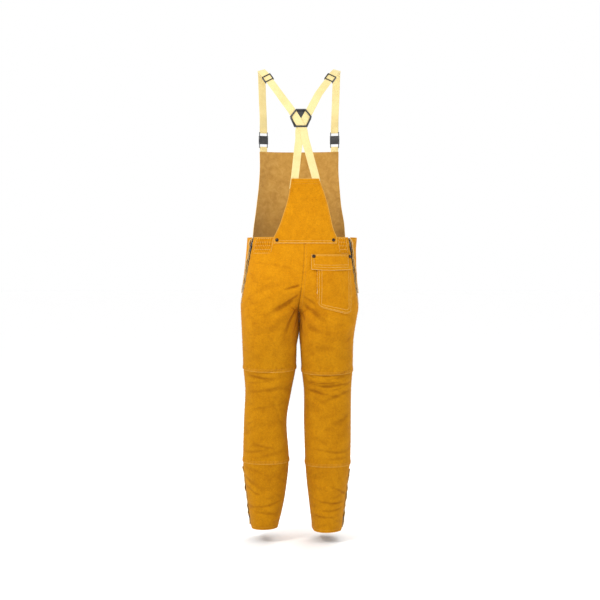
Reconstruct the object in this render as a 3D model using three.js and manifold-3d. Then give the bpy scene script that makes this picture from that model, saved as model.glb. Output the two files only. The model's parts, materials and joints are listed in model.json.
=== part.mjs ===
// A welder's bib-and-brace overalls in split cowhide, in the shape they take when worn.
//
// Millimetres. +X is the wearer's right, +Y the way the wearer faces, +Z up.
// The origin lies midway between the two places where the straps rest on the shoulders, at the
// underside of the straps, so nearly every height is negative.
//
// The trousers are one smooth surface cut into leather panels. A place on it is given by a height and
// by the distance round the section from the side seam, towards the back or towards the front.
// Zips, pocket, flaps and studs are placed on that surface, so they follow it when a size changes.

import * as THREE from "three";
import { mergeVertices } from "three/addons/utils/BufferGeometryUtils.js";
import Module from "manifold-3d";

const wasm = await Module();
wasm.setup();

// ---------------------------------------------------------------- driving dimensions

const LEATHER = 1.4; // thickness of the split cowhide
const SEAM_GAP = 0.3; // free space between two sewn edges
const LAYER_GAP = 0.35; // free space between two layers that lie on each other
const LINING_GAP = 0.75; // free space between a panel and what is sewn inside it

const WAIST_Z = -547; // top edge of the trousers
const BIB_LAP = 21; // how far both bibs reach down over the trousers
const RISE = 236; // waist to crotch
const LEG_LENGTH = 719; // crotch to hem
const KNEE_SEAM = 192; // both leg seams, below the crotch
const CALF_SEAM = 497;
const SEAT_CURVE = 84; // height over which the two legs merge into the seat
const SEAT_BLEND = 56; // how far below the crotch the outer side of each leg starts to merge
const RIGHT_LEG_DROP = 9; // the wearer stands on the left leg, so the right one hangs lower
const SQUARENESS = 2.3; // exponent of the superellipse sections; 2 would be an ellipse
const CROTCH_Z = WAIST_Z - RISE;

// How far the surface reaches to the back and to the front, and how far the centre seams lie to the
// wearer's right at the back, by height above or below the crotch.
const BACK_DEPTH = [
  [773, 30], [754, 58], [707, 92], [663, 108], [615, 115], [533, 119], [424, 112], [333, 104],
  [235, 108], [172, 120], [123, 131], [63, 136], [0, 130], [-97, 106], [-192, 88], [-267, 82],
  [-367, 86], [-496, 90], [-554, 88], [-611, 86], [-672, 84], [-719, 82],
];
const FRONT_DEPTH = [
  [763, 46], [733, 72], [683, 94], [583, 112], [483, 118], [333, 112], [235, 112], [123, 118],
  [63, 117], [0, 107], [-97, 98], [-192, 84], [-267, 78], [-367, 66], [-496, 62], [-554, 66],
  [-611, 76], [-672, 90], [-719, 104],
];
const CENTRE_SHIFT = [[236, 18], [160, 16], [80, 9], [0, 0]];
const CHEST_EXTRA = [[533, 10], [235, 0]]; // how much the chest is wider than the waist, on each side
// How far each leg reaches from the middle plane on its outer and inner side, below the crotch.
const LEGS = {
  right: {
    outer: [
      [0, 195], [-97, 180], [-192, 177], [-267, 172], [-496, 169], [-554, 160], [-611, 150], [-719, 142],
    ],
    inner: [
      [0, 1], [-97, 3], [-192, 8], [-267, 16], [-367, 16], [-496, 20], [-554, 24], [-611, 30], [-719, 43],
    ],
  },
  left: {
    outer: [
      [0, 192], [-97, 188], [-192, 184], [-267, 178], [-367, 182], [-496, 185], [-554, 181], [-611, 171],
      [-719, 160],
    ],
    inner: [
      [0, 1], [-97, 7], [-192, 11], [-267, 25], [-367, 41], [-496, 34], [-611, 46], [-672, 58], [-719, 70],
    ],
  },
};
const SEAM_BEHIND = [[31, 42], [-97, 20], [-220, 12], [-719, 12]]; // side seams, behind the middle plane

// Zips: a straight one on each hip and one at each ankle. The leather stops short of the teeth.
const ZIP = { edge: 6, tapeReach: 13, tape: 0.8, teeth: 3.4, teethThick: 2, split: 0.9, sink: 0.6 };
const HIP_ZIP = { rightTop: 165, leftTop: 153, behind: 60, length: 205, topGap: 11 };
const ANKLE_ZIP = { length: 200, hemGap: 3 };
const SLIDER = { width: 9.4, length: 14, plate: 1.2, room: 1.1, web: 0.8 };
const SLIDER_PARK = { hip: 10, ankle: 32 }; // how far the closed slider stands from its end of the zip
const PULL = { width: 7, length: 27, thick: 1.3, eye: 6.4, bar: 1.4, sides: 1.5 };

// The bibs' edges: distances from the bib's middle, by height above the waist.
const BACK_BIB = {
  middle: 20,
  height: 188,
  left: [[188, 44], [121, 56], [69, 72], [30, 86], [0, 101]],
  right: [[188, 44], [121, 67], [69, 80], [30, 89], [0, 101]],
};
const FRONT_BIB = { height: 292, half: [[292, 132], [220, 132], [120, 140], [50, 150], [0, 154]] };

const FACING = { height: 48, thick: 1.2, below: 2 }; // the strip inside the waist that holds the elastic
const ELASTIC = { height: 38, thick: 1.4 };
const POCKET = { left: 58, seamClear: 9, top: 78, bottomLeft: 225, bottomRight: 253, corner: 24, lift: 1.3 };
const FLAP = { left: 39, seamClear: 13, top: 57, height: 49, sag: 3 };
const PLACKET = { edge: 6.5, width: 27, lift: 8, hipLength: 178, endGap: 5 };
const STUD = {
  capRadius: 6, dome: 2.6, shank: 1.7, clearance: 0.35, washer: 4.4, washerThick: 0.9, slack: 0.6,
};
const WAIST_STUDS = { left: -71, right: 111, below: 10 };
const FLAP_STUDS = { left: 47, seam: 19.5, below: 6.5 };

const WEBBING = { width: 25, thick: 1.3 };
const STRAP_TAIL = 34; // how far a strap reaches down behind the back bib
const HEX = { x: 5.5, z: -166, halfWidth: 35.5, height: 59, flat: 15.5, bar: 5, thick: 2.2, plate: 1.2 };
const SHOULDER = { x: 124, slope: 16, flatLength: 26 };
const ADJUSTER = { x: 101, z: -33, length: 25, bar: 3, thick: 2.2, rail: 2.6, travel: 44 };
const RUN_END = { x: 66, z: -82 }; // where the straight run below an adjuster ends
const BUCKLE = { x: 118, z: -205, width: 31, thick: 9, wall: 2, length: 24, shoulder: 3.6, travel: 25 };
const BUCKLE_BAR = { reach: 15, thick: 2.2, rail: 2.4 };
const TAB_LENGTH = 44;

// ---------------------------------------------------------------- small helpers

const vec = (x, y, z) => new THREE.Vector3(x, y, z);
const mix = THREE.MathUtils.lerp;
const clamp = THREE.MathUtils.clamp;
const range = (from, to, steps) => Array.from({ length: steps + 1 }, (_, i) => mix(from, to, i / steps));
const power = (v, e) => Math.sign(v) * Math.abs(v) ** e;
const RIGHT = { name: "right", sign: 1 };
const LEFT = { name: "left", sign: -1 };
const BACK = -1;
const FRONT = 1;

// A smooth curve through [height, value] pairs listed from the top down, level beyond its two ends.
function along(table, z) {
  const last = table.length - 1;
  if (z >= table[0][0]) return table[0][1];
  if (z <= table[last][0]) return table[last][1];
  let i = 0;
  while (z < table[i + 1][0]) i++;
  const slope = (k) => {
    const [a, b] = [Math.max(k - 1, 0), Math.min(k + 1, last)];
    return (table[b][1] - table[a][1]) / (table[b][0] - table[a][0]);
  };
  const [[z0, v0], [z1, v1]] = [table[i], table[i + 1]];
  const span = z1 - z0;
  const t = (z - z0) / span;
  const rise = t * t * (3 - 2 * t);
  const leave = t * (1 - t) * (1 - t) * span * slope(i);
  const arrive = t * t * (t - 1) * span * slope(i + 1);
  return mix(v0, v1, rise) + leave + arrive;
}

// A closed BufferGeometry from points and triangles, turned so that its faces point out.
function closed(points, triangles) {
  let volume = 0;
  for (const [a, b, c] of triangles) volume += points[a].dot(points[b].clone().cross(points[c]));
  const geometry = new THREE.BufferGeometry().setFromPoints(points);
  geometry.setIndex(triangles.flatMap(([a, b, c]) => (volume > 0 ? [a, b, c] : [a, c, b])));
  return geometry;
}

// Joins rings of equally many points into a closed solid; cap lists the triangles inside one ring.
function loft(rings, cap) {
  const size = rings[0].length;
  const last = (rings.length - 1) * size;
  const triangles = [];
  for (let r = 0; r + 1 < rings.length; r++)
    for (let k = 0; k < size; k++) {
      const a = r * size + k;
      const b = r * size + ((k + 1) % size);
      triangles.push([a, b, b + size], [a, b + size, a + size]);
    }
  for (const [a, b, c] of cap) triangles.push([c, b, a], [a + last, b + last, c + last]);
  return closed(rings.flat(), triangles);
}

// The cap of a ring made of n points one way and n points back beside them.
function ladder(n) {
  const cap = [];
  for (let i = 0; i + 1 < n; i++) {
    const back = 2 * n - 1 - i;
    cap.push([i, i + 1, back - 1], [i, back - 1, back]);
  }
  return cap;
}

// A sheet between two grids of points, given row by row: its outer face and its inner face.
const sheet = (outer, inner) =>
  loft(outer.map((row, i) => [...row, ...[...inner[i]].reverse()]), ladder(outer[0].length));

// The cap of a ring whose points have these flat [x, y] coordinates.
function outlineCap(profile) {
  const contour = profile.map(([x, y]) => new THREE.Vector2(x, y));
  const forward = THREE.ShapeUtils.area(contour) > 0;
  return THREE.ShapeUtils.triangulateShape(contour, []).map(([a, b, c]) => {
    const turn = contour[b].clone().sub(contour[a]).cross(contour[c].clone().sub(contour[a]));
    return turn > 0 === forward ? [a, b, c] : [a, c, b];
  });
}

// A block between two corners.
const block = (x0, x1, y0, y1, z0, z1) =>
  new THREE.BoxGeometry(x1 - x0, y1 - y0, z1 - z0).translate((x0 + x1) / 2, (y0 + y1) / 2, (z0 + z1) / 2);

function toSolid(geometry) {
  const bare = geometry.index ? geometry.toNonIndexed() : geometry.clone();
  bare.deleteAttribute("normal");
  bare.deleteAttribute("uv");
  const merged = mergeVertices(bare, 1e-3);
  return new wasm.Manifold(
    new wasm.Mesh({
      numProp: 3,
      vertProperties: merged.attributes.position.array,
      triVerts: new Uint32Array(merged.index.array),
    }),
  );
}

function toGeometry(made) {
  const mesh = made.getMesh();
  const geometry = new THREE.BufferGeometry();
  geometry.setAttribute("position", new THREE.BufferAttribute(Float32Array.from(mesh.vertProperties), 3));
  geometry.setIndex(Array.from(mesh.triVerts));
  return geometry;
}

const join = (geometries) => toGeometry(geometries.map(toSolid).reduce((a, b) => a.add(b)));
const cut = (geometry, tools) =>
  toGeometry(tools.map(toSolid).reduce((a, b) => a.subtract(b), toSolid(geometry)));

// ---------------------------------------------------------------- the surface of the garment

const legDrop = (side) => (side === RIGHT ? RIGHT_LEG_DROP : 0);
const crotchOf = (side) => CROTCH_Z - legDrop(side);
const hemOf = (side) => crotchOf(side) - LEG_LENGTH;

// Middle and half depth of the section at a height.
function depthAt(z) {
  const back = along(BACK_DEPTH, z - CROTCH_Z);
  const front = along(FRONT_DEPTH, z - CROTCH_Z);
  return { middle: (front - back) / 2, half: (front + back) / 2 };
}

// How far a centre seam lies outwards on one side of the body.
const centreOf = (side, face, z) => -side.sign * face * along(CENTRE_SHIFT, z - CROTCH_Z);

// Share of a section's half width that is left where it is y deep.
function widthShare(y, z) {
  const { middle, half } = depthAt(z);
  return (1 - Math.abs((y - middle) / half) ** SQUARENESS) ** (1 / SQUARENESS);
}

// The side seam where no zip straightens it.
function plainSeam(side, z) {
  const level = z - CROTCH_Z;
  const y = -along(SEAM_BEHIND, level);
  const outer = along(LEGS[side.name].outer, level);
  const inner = along(LEGS[side.name].inner, level);
  return vec(side.sign * ((outer + inner) / 2 + ((outer - inner) / 2) * widthShare(y, z)), y, z);
}

// The straight line of a zip, from its top to its bottom end, on one side of the body.
function zipLine(side, kind) {
  if (kind === "ankle") {
    const bottom = hemOf(side) + ANKLE_ZIP.hemGap;
    return { top: plainSeam(side, bottom + ANKLE_ZIP.length), bottom: plainSeam(side, bottom) };
  }
  const top = WAIST_Z - HIP_ZIP.topGap;
  const x = side === RIGHT ? HIP_ZIP.rightTop : HIP_ZIP.leftTop;
  return { top: vec(side.sign * x, -HIP_ZIP.behind, top), bottom: plainSeam(side, top - HIP_ZIP.length) };
}

// The side seam: straight along a zip and beyond its open end, and plain elsewhere.
function seamAt(side, z) {
  for (const kind of ["hip", "ankle"]) {
    const { top, bottom } = zipLine(side, kind);
    const onZip = kind === "hip" ? z > bottom.z : z < top.z;
    if (onZip) return top.clone().lerp(bottom, (top.z - z) / (top.z - bottom.z));
  }
  return plainSeam(side, z);
}

// Half a section, from the side seam to the inseam or, above the crotch, to a centre seam.
function halfSection(side, face, z, steps = 40) {
  const seam = seamAt(side, z);
  const x = Math.abs(seam.x);
  const { middle, half } = depthAt(z);
  const e = 2 / SQUARENESS;
  const start = Math.asin(clamp(power((seam.y - middle) / half, 1 / e), -1, 1));
  const reach = Math.cos(start) ** e;
  const centre = centreOf(side, face, z) + SEAM_GAP / 2;
  const inner = along(LEGS[side.name].inner, z - CROTCH_Z);
  const legMiddle = (x + inner * reach) / (1 + reach);
  const rise = clamp((z - crotchOf(side)) / SEAT_CURVE, 0, 1);
  const steep = (1 - (1 - rise) ** 2) ** 0.65;
  const gentle = THREE.MathUtils.smoothstep(z - crotchOf(side), -SEAT_BLEND, SEAT_CURVE);
  return range(0, 1, steps).map((t) => {
    const merged = mix(gentle, steep, t ** 3);
    const leg = mix(start, face * Math.PI, t);
    const hip = mix(start, (face * Math.PI) / 2, t);
    const legX = legMiddle + (legMiddle - inner) * power(Math.cos(leg), e);
    const hipX = centre + ((x - centre) / reach) * power(Math.cos(hip), e);
    const deep = mix(power(Math.sin(leg), e), power(Math.sin(hip), e), merged);
    return vec(side.sign * mix(legX, hipX, merged), middle + half * deep, z);
  });
}

const lengthOf = (points) => points.slice(1).reduce((sum, p, i) => sum + p.distanceTo(points[i]), 0);

// A point of a polyline by its distance from the start.
function walk(points, distance) {
  let left = distance;
  for (let i = 1; i < points.length; i++) {
    const step = points[i].distanceTo(points[i - 1]);
    if (left <= step || i === points.length - 1) return points[i - 1].clone().lerp(points[i], left / step);
    left -= step;
  }
}

// The surface's point at a distance from the side seam, and its outward normal.
function onSurface(side, face, z, distance) {
  const here = halfSection(side, face, z);
  const girth = lengthOf(here);
  const share = distance / girth;
  const low = clamp(distance - 2.5, 0, girth - 5);
  const across = walk(here, low + 5).sub(walk(here, low));
  const [above, below] = [z + 3, z - 3].map((level) => {
    const other = halfSection(side, face, level);
    return walk(other, share * lengthOf(other));
  });
  const normal = across.cross(above.sub(below)).multiplyScalar(side.sign * face).normalize();
  return { point: walk(here, distance), normal };
}

const offSurface = (side, face, z, distance, offset) => {
  const { point, normal } = onSurface(side, face, z, distance);
  return point.addScaledVector(normal, offset);
};

// How far from the side seam a point of the back lies that has this x.
function distanceAt(side, z, x) {
  const here = halfSection(side, BACK, z);
  const next = here.findIndex((p, i) => i > 0 && (p.x - x) * side.sign <= 0);
  const share = (x - here[next - 1].x) / (here[next].x - here[next - 1].x);
  return lengthOf(here.slice(0, next)) + share * here[next].distanceTo(here[next - 1]);
}

// How deep the whole body is at a height of the hips or the chest.
function bodyDepth(face, x, z) {
  const shift = -face * along(CENTRE_SHIFT, z - CROTCH_Z);
  const side = x > shift ? RIGHT : LEFT;
  const level = Math.min(z, WAIST_Z);
  const seam = seamAt(side, level);
  const width = (Math.abs(seam.x) - centreOf(side, face, level)) / widthShare(seam.y, level);
  const share = Math.abs(x - shift) / (width + along(CHEST_EXTRA, z - CROTCH_Z));
  const { middle, half } = depthAt(z);
  return middle + face * half * (1 - Math.min(share, 0.99) ** SQUARENESS) ** (1 / SQUARENESS);
}

// A point above the back or the front, and the outward direction there.
function onBody(face, x, z, offset) {
  const acrossSlope = (bodyDepth(face, x + 3, z) - bodyDepth(face, x - 3, z)) / 6;
  const upSlope = (bodyDepth(face, x, z + 3) - bodyDepth(face, x, z - 3)) / 6;
  const out = vec(-acrossSlope, 1, -upSlope).multiplyScalar(face).normalize();
  return { point: vec(x, bodyDepth(face, x, z), z).addScaledVector(out, offset), out };
}

// ---------------------------------------------------------------- leather panels

// How far a panel's edge keeps from the side seam: the zips need room for their teeth and slider.
function edgeGap(side, z) {
  const hip = zipLine(side, "hip").bottom.z;
  const ankle = zipLine(side, "ankle").top.z;
  const open = Math.max(clamp((z - hip) / 10 + 1, 0, 1), clamp((ankle - z) / 10 + 1, 0, 1));
  return mix(SEAM_GAP / 2, ZIP.edge, open);
}

// The heights at which panels have their rows: every 32 mm, and closer at the crotch and the zip ends.
function rowHeights(side, top, bottom) {
  const crotch = crotchOf(side);
  const marks = [0, 0.06, 0.2, 0.45, 1].map((t) => crotch + SEAT_CURVE * t);
  const hip = zipLine(side, "hip").bottom.z;
  const ankle = zipLine(side, "ankle").top.z;
  marks.push(WAIST_Z - BIB_LAP, hip, hip - 10, ankle, ankle + 10);
  for (let z = WAIST_Z; z > bottom; z -= 32) marks.push(z);
  const inside = marks.filter((z) => z < top - 5 && z > bottom + 5).sort((a, b) => b - a);
  const spread = inside.filter((z, i) => i === 0 || inside[i - 1] - z > 2);
  return [top, ...spread, bottom];
}

// A panel of the trousers between two heights.
function trouserPanel(side, face, top, bottom, columns) {
  const rows = rowHeights(side, top, bottom).map((z) => {
    const girth = lengthOf(halfSection(side, face, z));
    const underTape = ZIP.tapeReach + 1;
    const spots = [edgeGap(side, z), ...range(underTape, girth - SEAM_GAP / 2, columns)];
    return spots.map((distance) => onSurface(side, face, z, distance));
  });
  const outer = rows.map((row) => row.map(({ point }) => point));
  const inner = rows.map((row) => row.map(({ point, normal }) => point.clone().addScaledVector(normal, -LEATHER)));
  return sheet(outer, inner);
}

// A layer over the back or the front, between two edges given by height.
function layer(face, heights, leftEdge, rightEdge, columns, offsetAt) {
  const grid = (extra) =>
    heights.map((z) =>
      range(leftEdge(z), rightEdge(z), columns).map((x) => onBody(face, x, z, offsetAt(z) + extra).point),
    );
  return sheet(grid(LEATHER), grid(0));
}

const bibHeights = (height) => [...range(WAIST_Z + height, WAIST_Z, 8), WAIST_Z - BIB_LAP];

const BIB_GAP = 0.6; // between the trousers and the front bib

// The back bib stands off the back near its top, where the strap ends lie behind it.
const backBibOffset = (z) =>
  mix(LAYER_GAP, WEBBING.thick + 2 * LAYER_GAP, clamp((z - WAIST_Z - 20) / (BACK_BIB.height - 70), 0, 1));

const backBib = () =>
  layer(
    BACK,
    bibHeights(BACK_BIB.height),
    (z) => BACK_BIB.middle - along(BACK_BIB.left, z - WAIST_Z),
    (z) => BACK_BIB.middle + along(BACK_BIB.right, z - WAIST_Z),
    14,
    backBibOffset,
  );

const frontBib = () =>
  layer(
    FRONT,
    bibHeights(FRONT_BIB.height),
    (z) => -along(FRONT_BIB.half, z - WAIST_Z),
    (z) => along(FRONT_BIB.half, z - WAIST_Z),
    20,
    () => BIB_GAP,
  );

// A strip sewn inside the waist between a hip zip and the back bib.
function waistStrip(side, height, depth, thick) {
  const top = WAIST_Z - FACING.below - (FACING.height - height) / 2;
  const halfBib = side === RIGHT ? BACK_BIB.right.at(-1)[1] : -BACK_BIB.left.at(-1)[1];
  const bibEdge = BACK_BIB.middle + halfBib;
  const grid = (under) =>
    range(top, top - height, 2).map((z) =>
      range(ZIP.tapeReach + 2, distanceAt(side, z, bibEdge) - 1, 5).map((d) => offSurface(side, BACK, z, d, -under)),
    );
  return sheet(grid(depth), grid(depth + thick));
}

const elasticDepth = LEATHER + LINING_GAP;
const facingDepth = elasticDepth + ELASTIC.thick + LINING_GAP;

// ---------------------------------------------------------------- pocket and its flap, on the right seat

// The x of a place on the right back that keeps a distance from the side seam.
const rightEdgeX = (z, clear = POCKET.seamClear) => onSurface(RIGHT, BACK, z, clear).point.x;

// The pocket's lower edge by how far across it is, with round corners.
function pocketBottom(x, right) {
  const share = (x - POCKET.left) / (right - POCKET.left);
  const base = WAIST_Z - mix(POCKET.bottomLeft, POCKET.bottomRight, share);
  const into = POCKET.corner - Math.min(x - POCKET.left, right - x, POCKET.corner);
  return base + POCKET.corner - Math.sqrt(Math.max(POCKET.corner ** 2 - into ** 2, 0));
}

function pocket() {
  const top = WAIST_Z - POCKET.top;
  const right = rightEdgeX(top);
  const corner = range(0, 1, 3).map((t) => POCKET.corner * (1 - Math.cos((t * Math.PI) / 2)));
  const columns = [
    ...corner.map((d) => POCKET.left + d),
    ...range(POCKET.left + POCKET.corner, right - POCKET.corner, 5).slice(1, -1),
    ...corner.map((d) => right - d).reverse(),
  ];
  const grid = (offset) =>
    columns.map((x) =>
      range(top, pocketBottom(x, right), 10).map((z) => offSurface(RIGHT, BACK, z, distanceAt(RIGHT, z, x), offset)),
    );
  return sheet(grid(POCKET.lift + LEATHER), grid(POCKET.lift));
}

const flapOffset = POCKET.lift + LEATHER + LINING_GAP;
const flapTop = WAIST_Z - FLAP.top;

// The flap lies over the pocket's mouth; its lower edge sags a little in the middle.
function pocketFlap() {
  const right = rightEdgeX(flapTop, FLAP.seamClear);
  const grid = (extra) =>
    range(0, 1, 14).map((t) => {
      const bottom = flapTop - FLAP.height - FLAP.sag * Math.sin(t * Math.PI);
      return range(flapTop, bottom, 2).map((z) => onBody(BACK, mix(FLAP.left, right, t), z, flapOffset + extra).point);
    });
  return sheet(grid(LEATHER), grid(0));
}

// ---------------------------------------------------------------- studs

// The frame of a stud: z out of the back, its origin at the underside of the cap.
function studFrame({ x, z, offset }) {
  const { point, out } = onBody(BACK, x, z, offset);
  const turn = new THREE.Quaternion().setFromUnitVectors(vec(0, 0, 1), out);
  return new THREE.Matrix4().compose(point, turn, vec(1, 1, 1));
}

const rightStudX = onSurface(RIGHT, BACK, flapTop - FLAP_STUDS.below, FLAP_STUDS.seam).point.x;
const bibOffset = 2 * LAYER_GAP + LEATHER;
const bibStud = (x) => ({
  x,
  z: WAIST_Z - WAIST_STUDS.below,
  offset: bibOffset,
  grip: bibOffset + LEATHER + STUD.slack,
});
const flapStud = (x) => ({
  x,
  z: flapTop - FLAP_STUDS.below,
  offset: flapOffset + LEATHER + 1.5 * LAYER_GAP,
  grip: LEATHER + 3 * LAYER_GAP,
});
const STUDS = {
  waist_stud_left: bibStud(WAIST_STUDS.left),
  waist_stud_right: bibStud(WAIST_STUDS.right),
  flap_stud_inner: flapStud(FLAP_STUDS.left),
  flap_stud_outer: flapStud(rightStudX),
};

// A domed cap, a shank through the leather and a washer behind it.
function stud(place) {
  const { capRadius, dome, shank, washer, washerThick } = STUD;
  const { grip } = place;
  const back = -grip - washerThick;
  const profile = [[0, back], [washer, back], [washer, -grip], [shank, -grip], [shank, 0]];
  for (const share of [0, 0.25, 0.55, 0.8]) {
    const turn = (share * Math.PI) / 2;
    profile.push([capRadius * Math.cos(turn), 0.3 + dome * Math.sin(turn)]);
  }
  profile.splice(5, 0, [capRadius, 0]);
  profile.push([0, 0.3 + dome]);
  const turned = new THREE.LatheGeometry(profile.map(([r, h]) => new THREE.Vector2(r, h)), 12);
  return turned.rotateX(Math.PI / 2).applyMatrix4(studFrame(place));
}

function studHole(place) {
  const radius = STUD.shank + STUD.clearance;
  const drill = new THREE.CylinderGeometry(radius, radius, 16, 12).rotateX(Math.PI / 2);
  return drill.applyMatrix4(studFrame(place));
}

const { waist_stud_left, waist_stud_right, flap_stud_inner, flap_stud_outer } = STUDS;

// ---------------------------------------------------------------- zips

// A zip's directions: down along it, out of the surface, and the way from the teeth to one of its tapes.
function zipAxes(side, kind) {
  const { top, bottom } = zipLine(side, kind);
  const down = bottom.clone().sub(top).normalize();
  const out = onSurface(side, BACK, (top.z + bottom.z) / 2, 0).normal;
  out.addScaledVector(down, -out.dot(down)).normalize();
  const across = down.clone().cross(out);
  const towards = (face) => across.clone().multiplyScalar(Math.sign(across.y) * face);
  return { top, bottom, down, out, across, towards };
}

const tapeDepth = LEATHER + LINING_GAP + ZIP.tape / 2; // from the surface to the middle of a sewn tape
const teethDepth = tapeDepth + ZIP.sink;

// A zip tape with its row of teeth: straight along the teeth, its far edge under the leather.
function zipTape(side, face, kind) {
  const { top, bottom, out, towards } = zipAxes(side, kind);
  const { split, teeth, teethThick, tape, tapeReach } = ZIP;
  const row = (z0, z1) => [[split, z0], [teeth, z0], [teeth, z1], [split, z1]];
  const [, b, c, d] = row(-teethThick / 2, teethThick / 2);
  const profile = [
    [split, -teethThick / 2],
    b,
    [teeth, -tape / 2],
    [tapeReach, -tape / 2],
    [tapeReach, tape / 2],
    [teeth, tape / 2],
    c,
    d,
  ];
  const rings = range(0, 1, 8).map((t) => {
    const base = top.clone().lerp(bottom, t);
    return profile.map(([distance, height]) => {
      if (distance === tapeReach) return offSurface(side, face, base.z, distance, height - tapeDepth);
      return base.clone().addScaledVector(towards(face), distance).addScaledVector(out, height - teethDepth);
    });
  });
  return loft(rings, outlineCap(profile));
}

// The frame of a zip's slider: x across, y down the zip, z out, its origin amid the teeth.
function sliderFrame(side, kind) {
  const { top, bottom, down, out, across } = zipAxes(side, kind);
  const place = kind === "hip" ? top.clone() : bottom.clone();
  place.addScaledVector(down, kind === "hip" ? SLIDER_PARK.hip : -SLIDER_PARK.ankle);
  return new THREE.Matrix4().makeBasis(across, down, out).setPosition(place.addScaledVector(out, -teethDepth));
}

const plateUnder = SLIDER.room + ZIP.teethThick / 2; // from the middle of the teeth to a slider plate
const pullAxis = plateUnder + SLIDER.plate + PULL.thick / 2 + 0.5;

// The slider: two plates joined by a web between the two rows of teeth, and the bridge over its pull.
function zipSlider() {
  const { width, length, plate, web } = SLIDER;
  const half = [width / 2, length / 2];
  const outer = block(-half[0], half[0], -half[1], half[1], plateUnder, plateUnder + plate);
  const inner = block(-half[0], half[0], -half[1], half[1], -plateUnder - plate, -plateUnder);
  const post = block(-web / 2, web / 2, -half[1] + 0.5, 0, -plateUnder - plate / 2, plateUnder + plate / 2);
  const [foot, crown, leg] = [plateUnder + plate / 2, pullAxis + 1.1, 1.3];
  const bridge = [
    block(-0.8, 0.8, -4.6, -4.6 + leg, foot, crown + 1),
    block(-0.8, 0.8, 4.6 - leg, 4.6, foot, crown + 1),
    block(-0.8, 0.8, -4.6, 4.6, crown, crown + 1.1),
  ];
  return join([outer, inner, post, ...bridge]);
}

// The pull tab, held by its eye under the slider's bridge.
function zipPull() {
  const [w, straight] = [PULL.width / 2, PULL.length - PULL.width / 2];
  const outline = new THREE.Shape();
  outline.moveTo(-w, -PULL.bar / 2);
  outline.lineTo(w, -PULL.bar / 2);
  outline.lineTo(w, straight);
  outline.absarc(0, straight, w, 0, Math.PI, false);
  const eye = w - PULL.sides;
  const hole = new THREE.Path([
    new THREE.Vector2(-eye, PULL.bar / 2),
    new THREE.Vector2(-eye, PULL.eye),
    new THREE.Vector2(eye, PULL.eye),
    new THREE.Vector2(eye, PULL.bar / 2),
  ]);
  outline.holes.push(hole);
  const plate = new THREE.ExtrudeGeometry(outline, { depth: PULL.thick, bevelEnabled: false, curveSegments: 5 });
  return plate.translate(0, 0, pullAxis - PULL.thick / 2);
}

// ---------------------------------------------------------------- plackets beside the zips

// A leather flap in front of a zip: sewn along a straight line on the front side, its free edge lifted.
function placketLines(side, kind) {
  const { top, bottom, out } = zipAxes(side, kind);
  const upper = kind === "hip" ? WAIST_Z - PLACKET.endGap : top.z - PLACKET.endGap;
  const lower = kind === "hip" ? upper - PLACKET.hipLength : hemOf(side) + PLACKET.endGap;
  const rows = range(upper, lower, 6);
  return [
    { distance: PLACKET.edge, lift: PLACKET.lift },
    { distance: PLACKET.edge + PLACKET.width * 0.45, lift: PLACKET.lift * 0.75 },
    { distance: PLACKET.edge + PLACKET.width, lift: 0 },
  ].map(({ distance, lift }) => {
    const spots = rows.map((z) => onSurface(side, FRONT, z, distance));
    const [first, last] = [spots[0].point, spots.at(-1).point];
    const bulges = spots.map(({ point }, i) => point.clone().sub(first.clone().lerp(last, i / 6)).dot(out));
    const normal = spots[3].normal;
    const raise = Math.max(...bulges) + LAYER_GAP + lift;
    return { normal, ends: [first, last].map((p) => p.clone().addScaledVector(normal, raise)) };
  });
}

function placket(side, kind) {
  const lines = placketLines(side, kind);
  const grid = (extra) =>
    range(0, 1, 10).map((t) =>
      lines.map(({ ends: [head, foot], normal }) => head.clone().lerp(foot, t).addScaledVector(normal, extra)));
  return sheet(grid(LEATHER), grid(0));
}

// ---------------------------------------------------------------- straps

// A flat band along places that each have a point and an outward direction.
function band(places, width = WEBBING.width, thick = WEBBING.thick) {
  const rings = places.map(({ point, out }, i) => {
    const before = places[Math.max(i - 1, 0)].point;
    const after = places[Math.min(i + 1, places.length - 1)].point;
    const forward = after.clone().sub(before).normalize();
    const side = forward.clone().cross(out).normalize();
    const up = side.clone().cross(forward).normalize();
    const corners = [[-1, -1], [1, -1], [1, 1], [-1, 1]];
    return corners.map(([a, b]) =>
      point.clone().addScaledVector(side, (a * width) / 2).addScaledVector(up, (b * thick) / 2));
  });
  return loft(rings, [[0, 1, 2], [0, 2, 3]]);
}

// Places along a smooth curve through key places, about one step apart.
function smooth(keys, step = 15) {
  const curve = new THREE.CatmullRomCurve3(keys.map(({ point }) => point), false, "centripetal");
  const places = [];
  for (let i = 0; i + 1 < keys.length; i++) {
    const parts = Math.max(1, Math.round(keys[i].point.distanceTo(keys[i + 1].point) / step));
    for (let k = 0; k < parts; k++) {
      const out = keys[i].out.clone().lerp(keys[i + 1].out, k / parts).normalize();
      places.push({ point: curve.getPoint((i + k / parts) / (keys.length - 1)), out });
    }
  }
  return [...places, keys.at(-1)];
}

const strapLift = WEBBING.thick / 2 + LAYER_GAP; // from the body to the middle of a strap
const strapPitch = WEBBING.thick + LAYER_GAP; // from one strap to the next one over it
const loopRadius = BUCKLE_BAR.thick * Math.SQRT1_2 + LAYER_GAP + WEBBING.thick / 2; // round a square bar

// Where the adjuster stands, and the straight run of strap below it.
function adjusterAxes(side) {
  const at = onBody(BACK, side.sign * ADJUSTER.x, ADJUSTER.z, strapLift + 3 * strapPitch);
  const end = onBody(BACK, side.sign * RUN_END.x, RUN_END.z, strapLift + strapPitch);
  const down = end.point.clone().sub(at.point).normalize();
  const out = at.out.clone().addScaledVector(down, -at.out.dot(down)).normalize();
  return { at: at.point, end, down, out, across: down.clone().cross(out) };
}

const adjusterFrame = (side) => {
  const { at, down, out, across } = adjusterAxes(side);
  return new THREE.Matrix4().makeBasis(across, down, out).setPosition(at);
};

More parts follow.
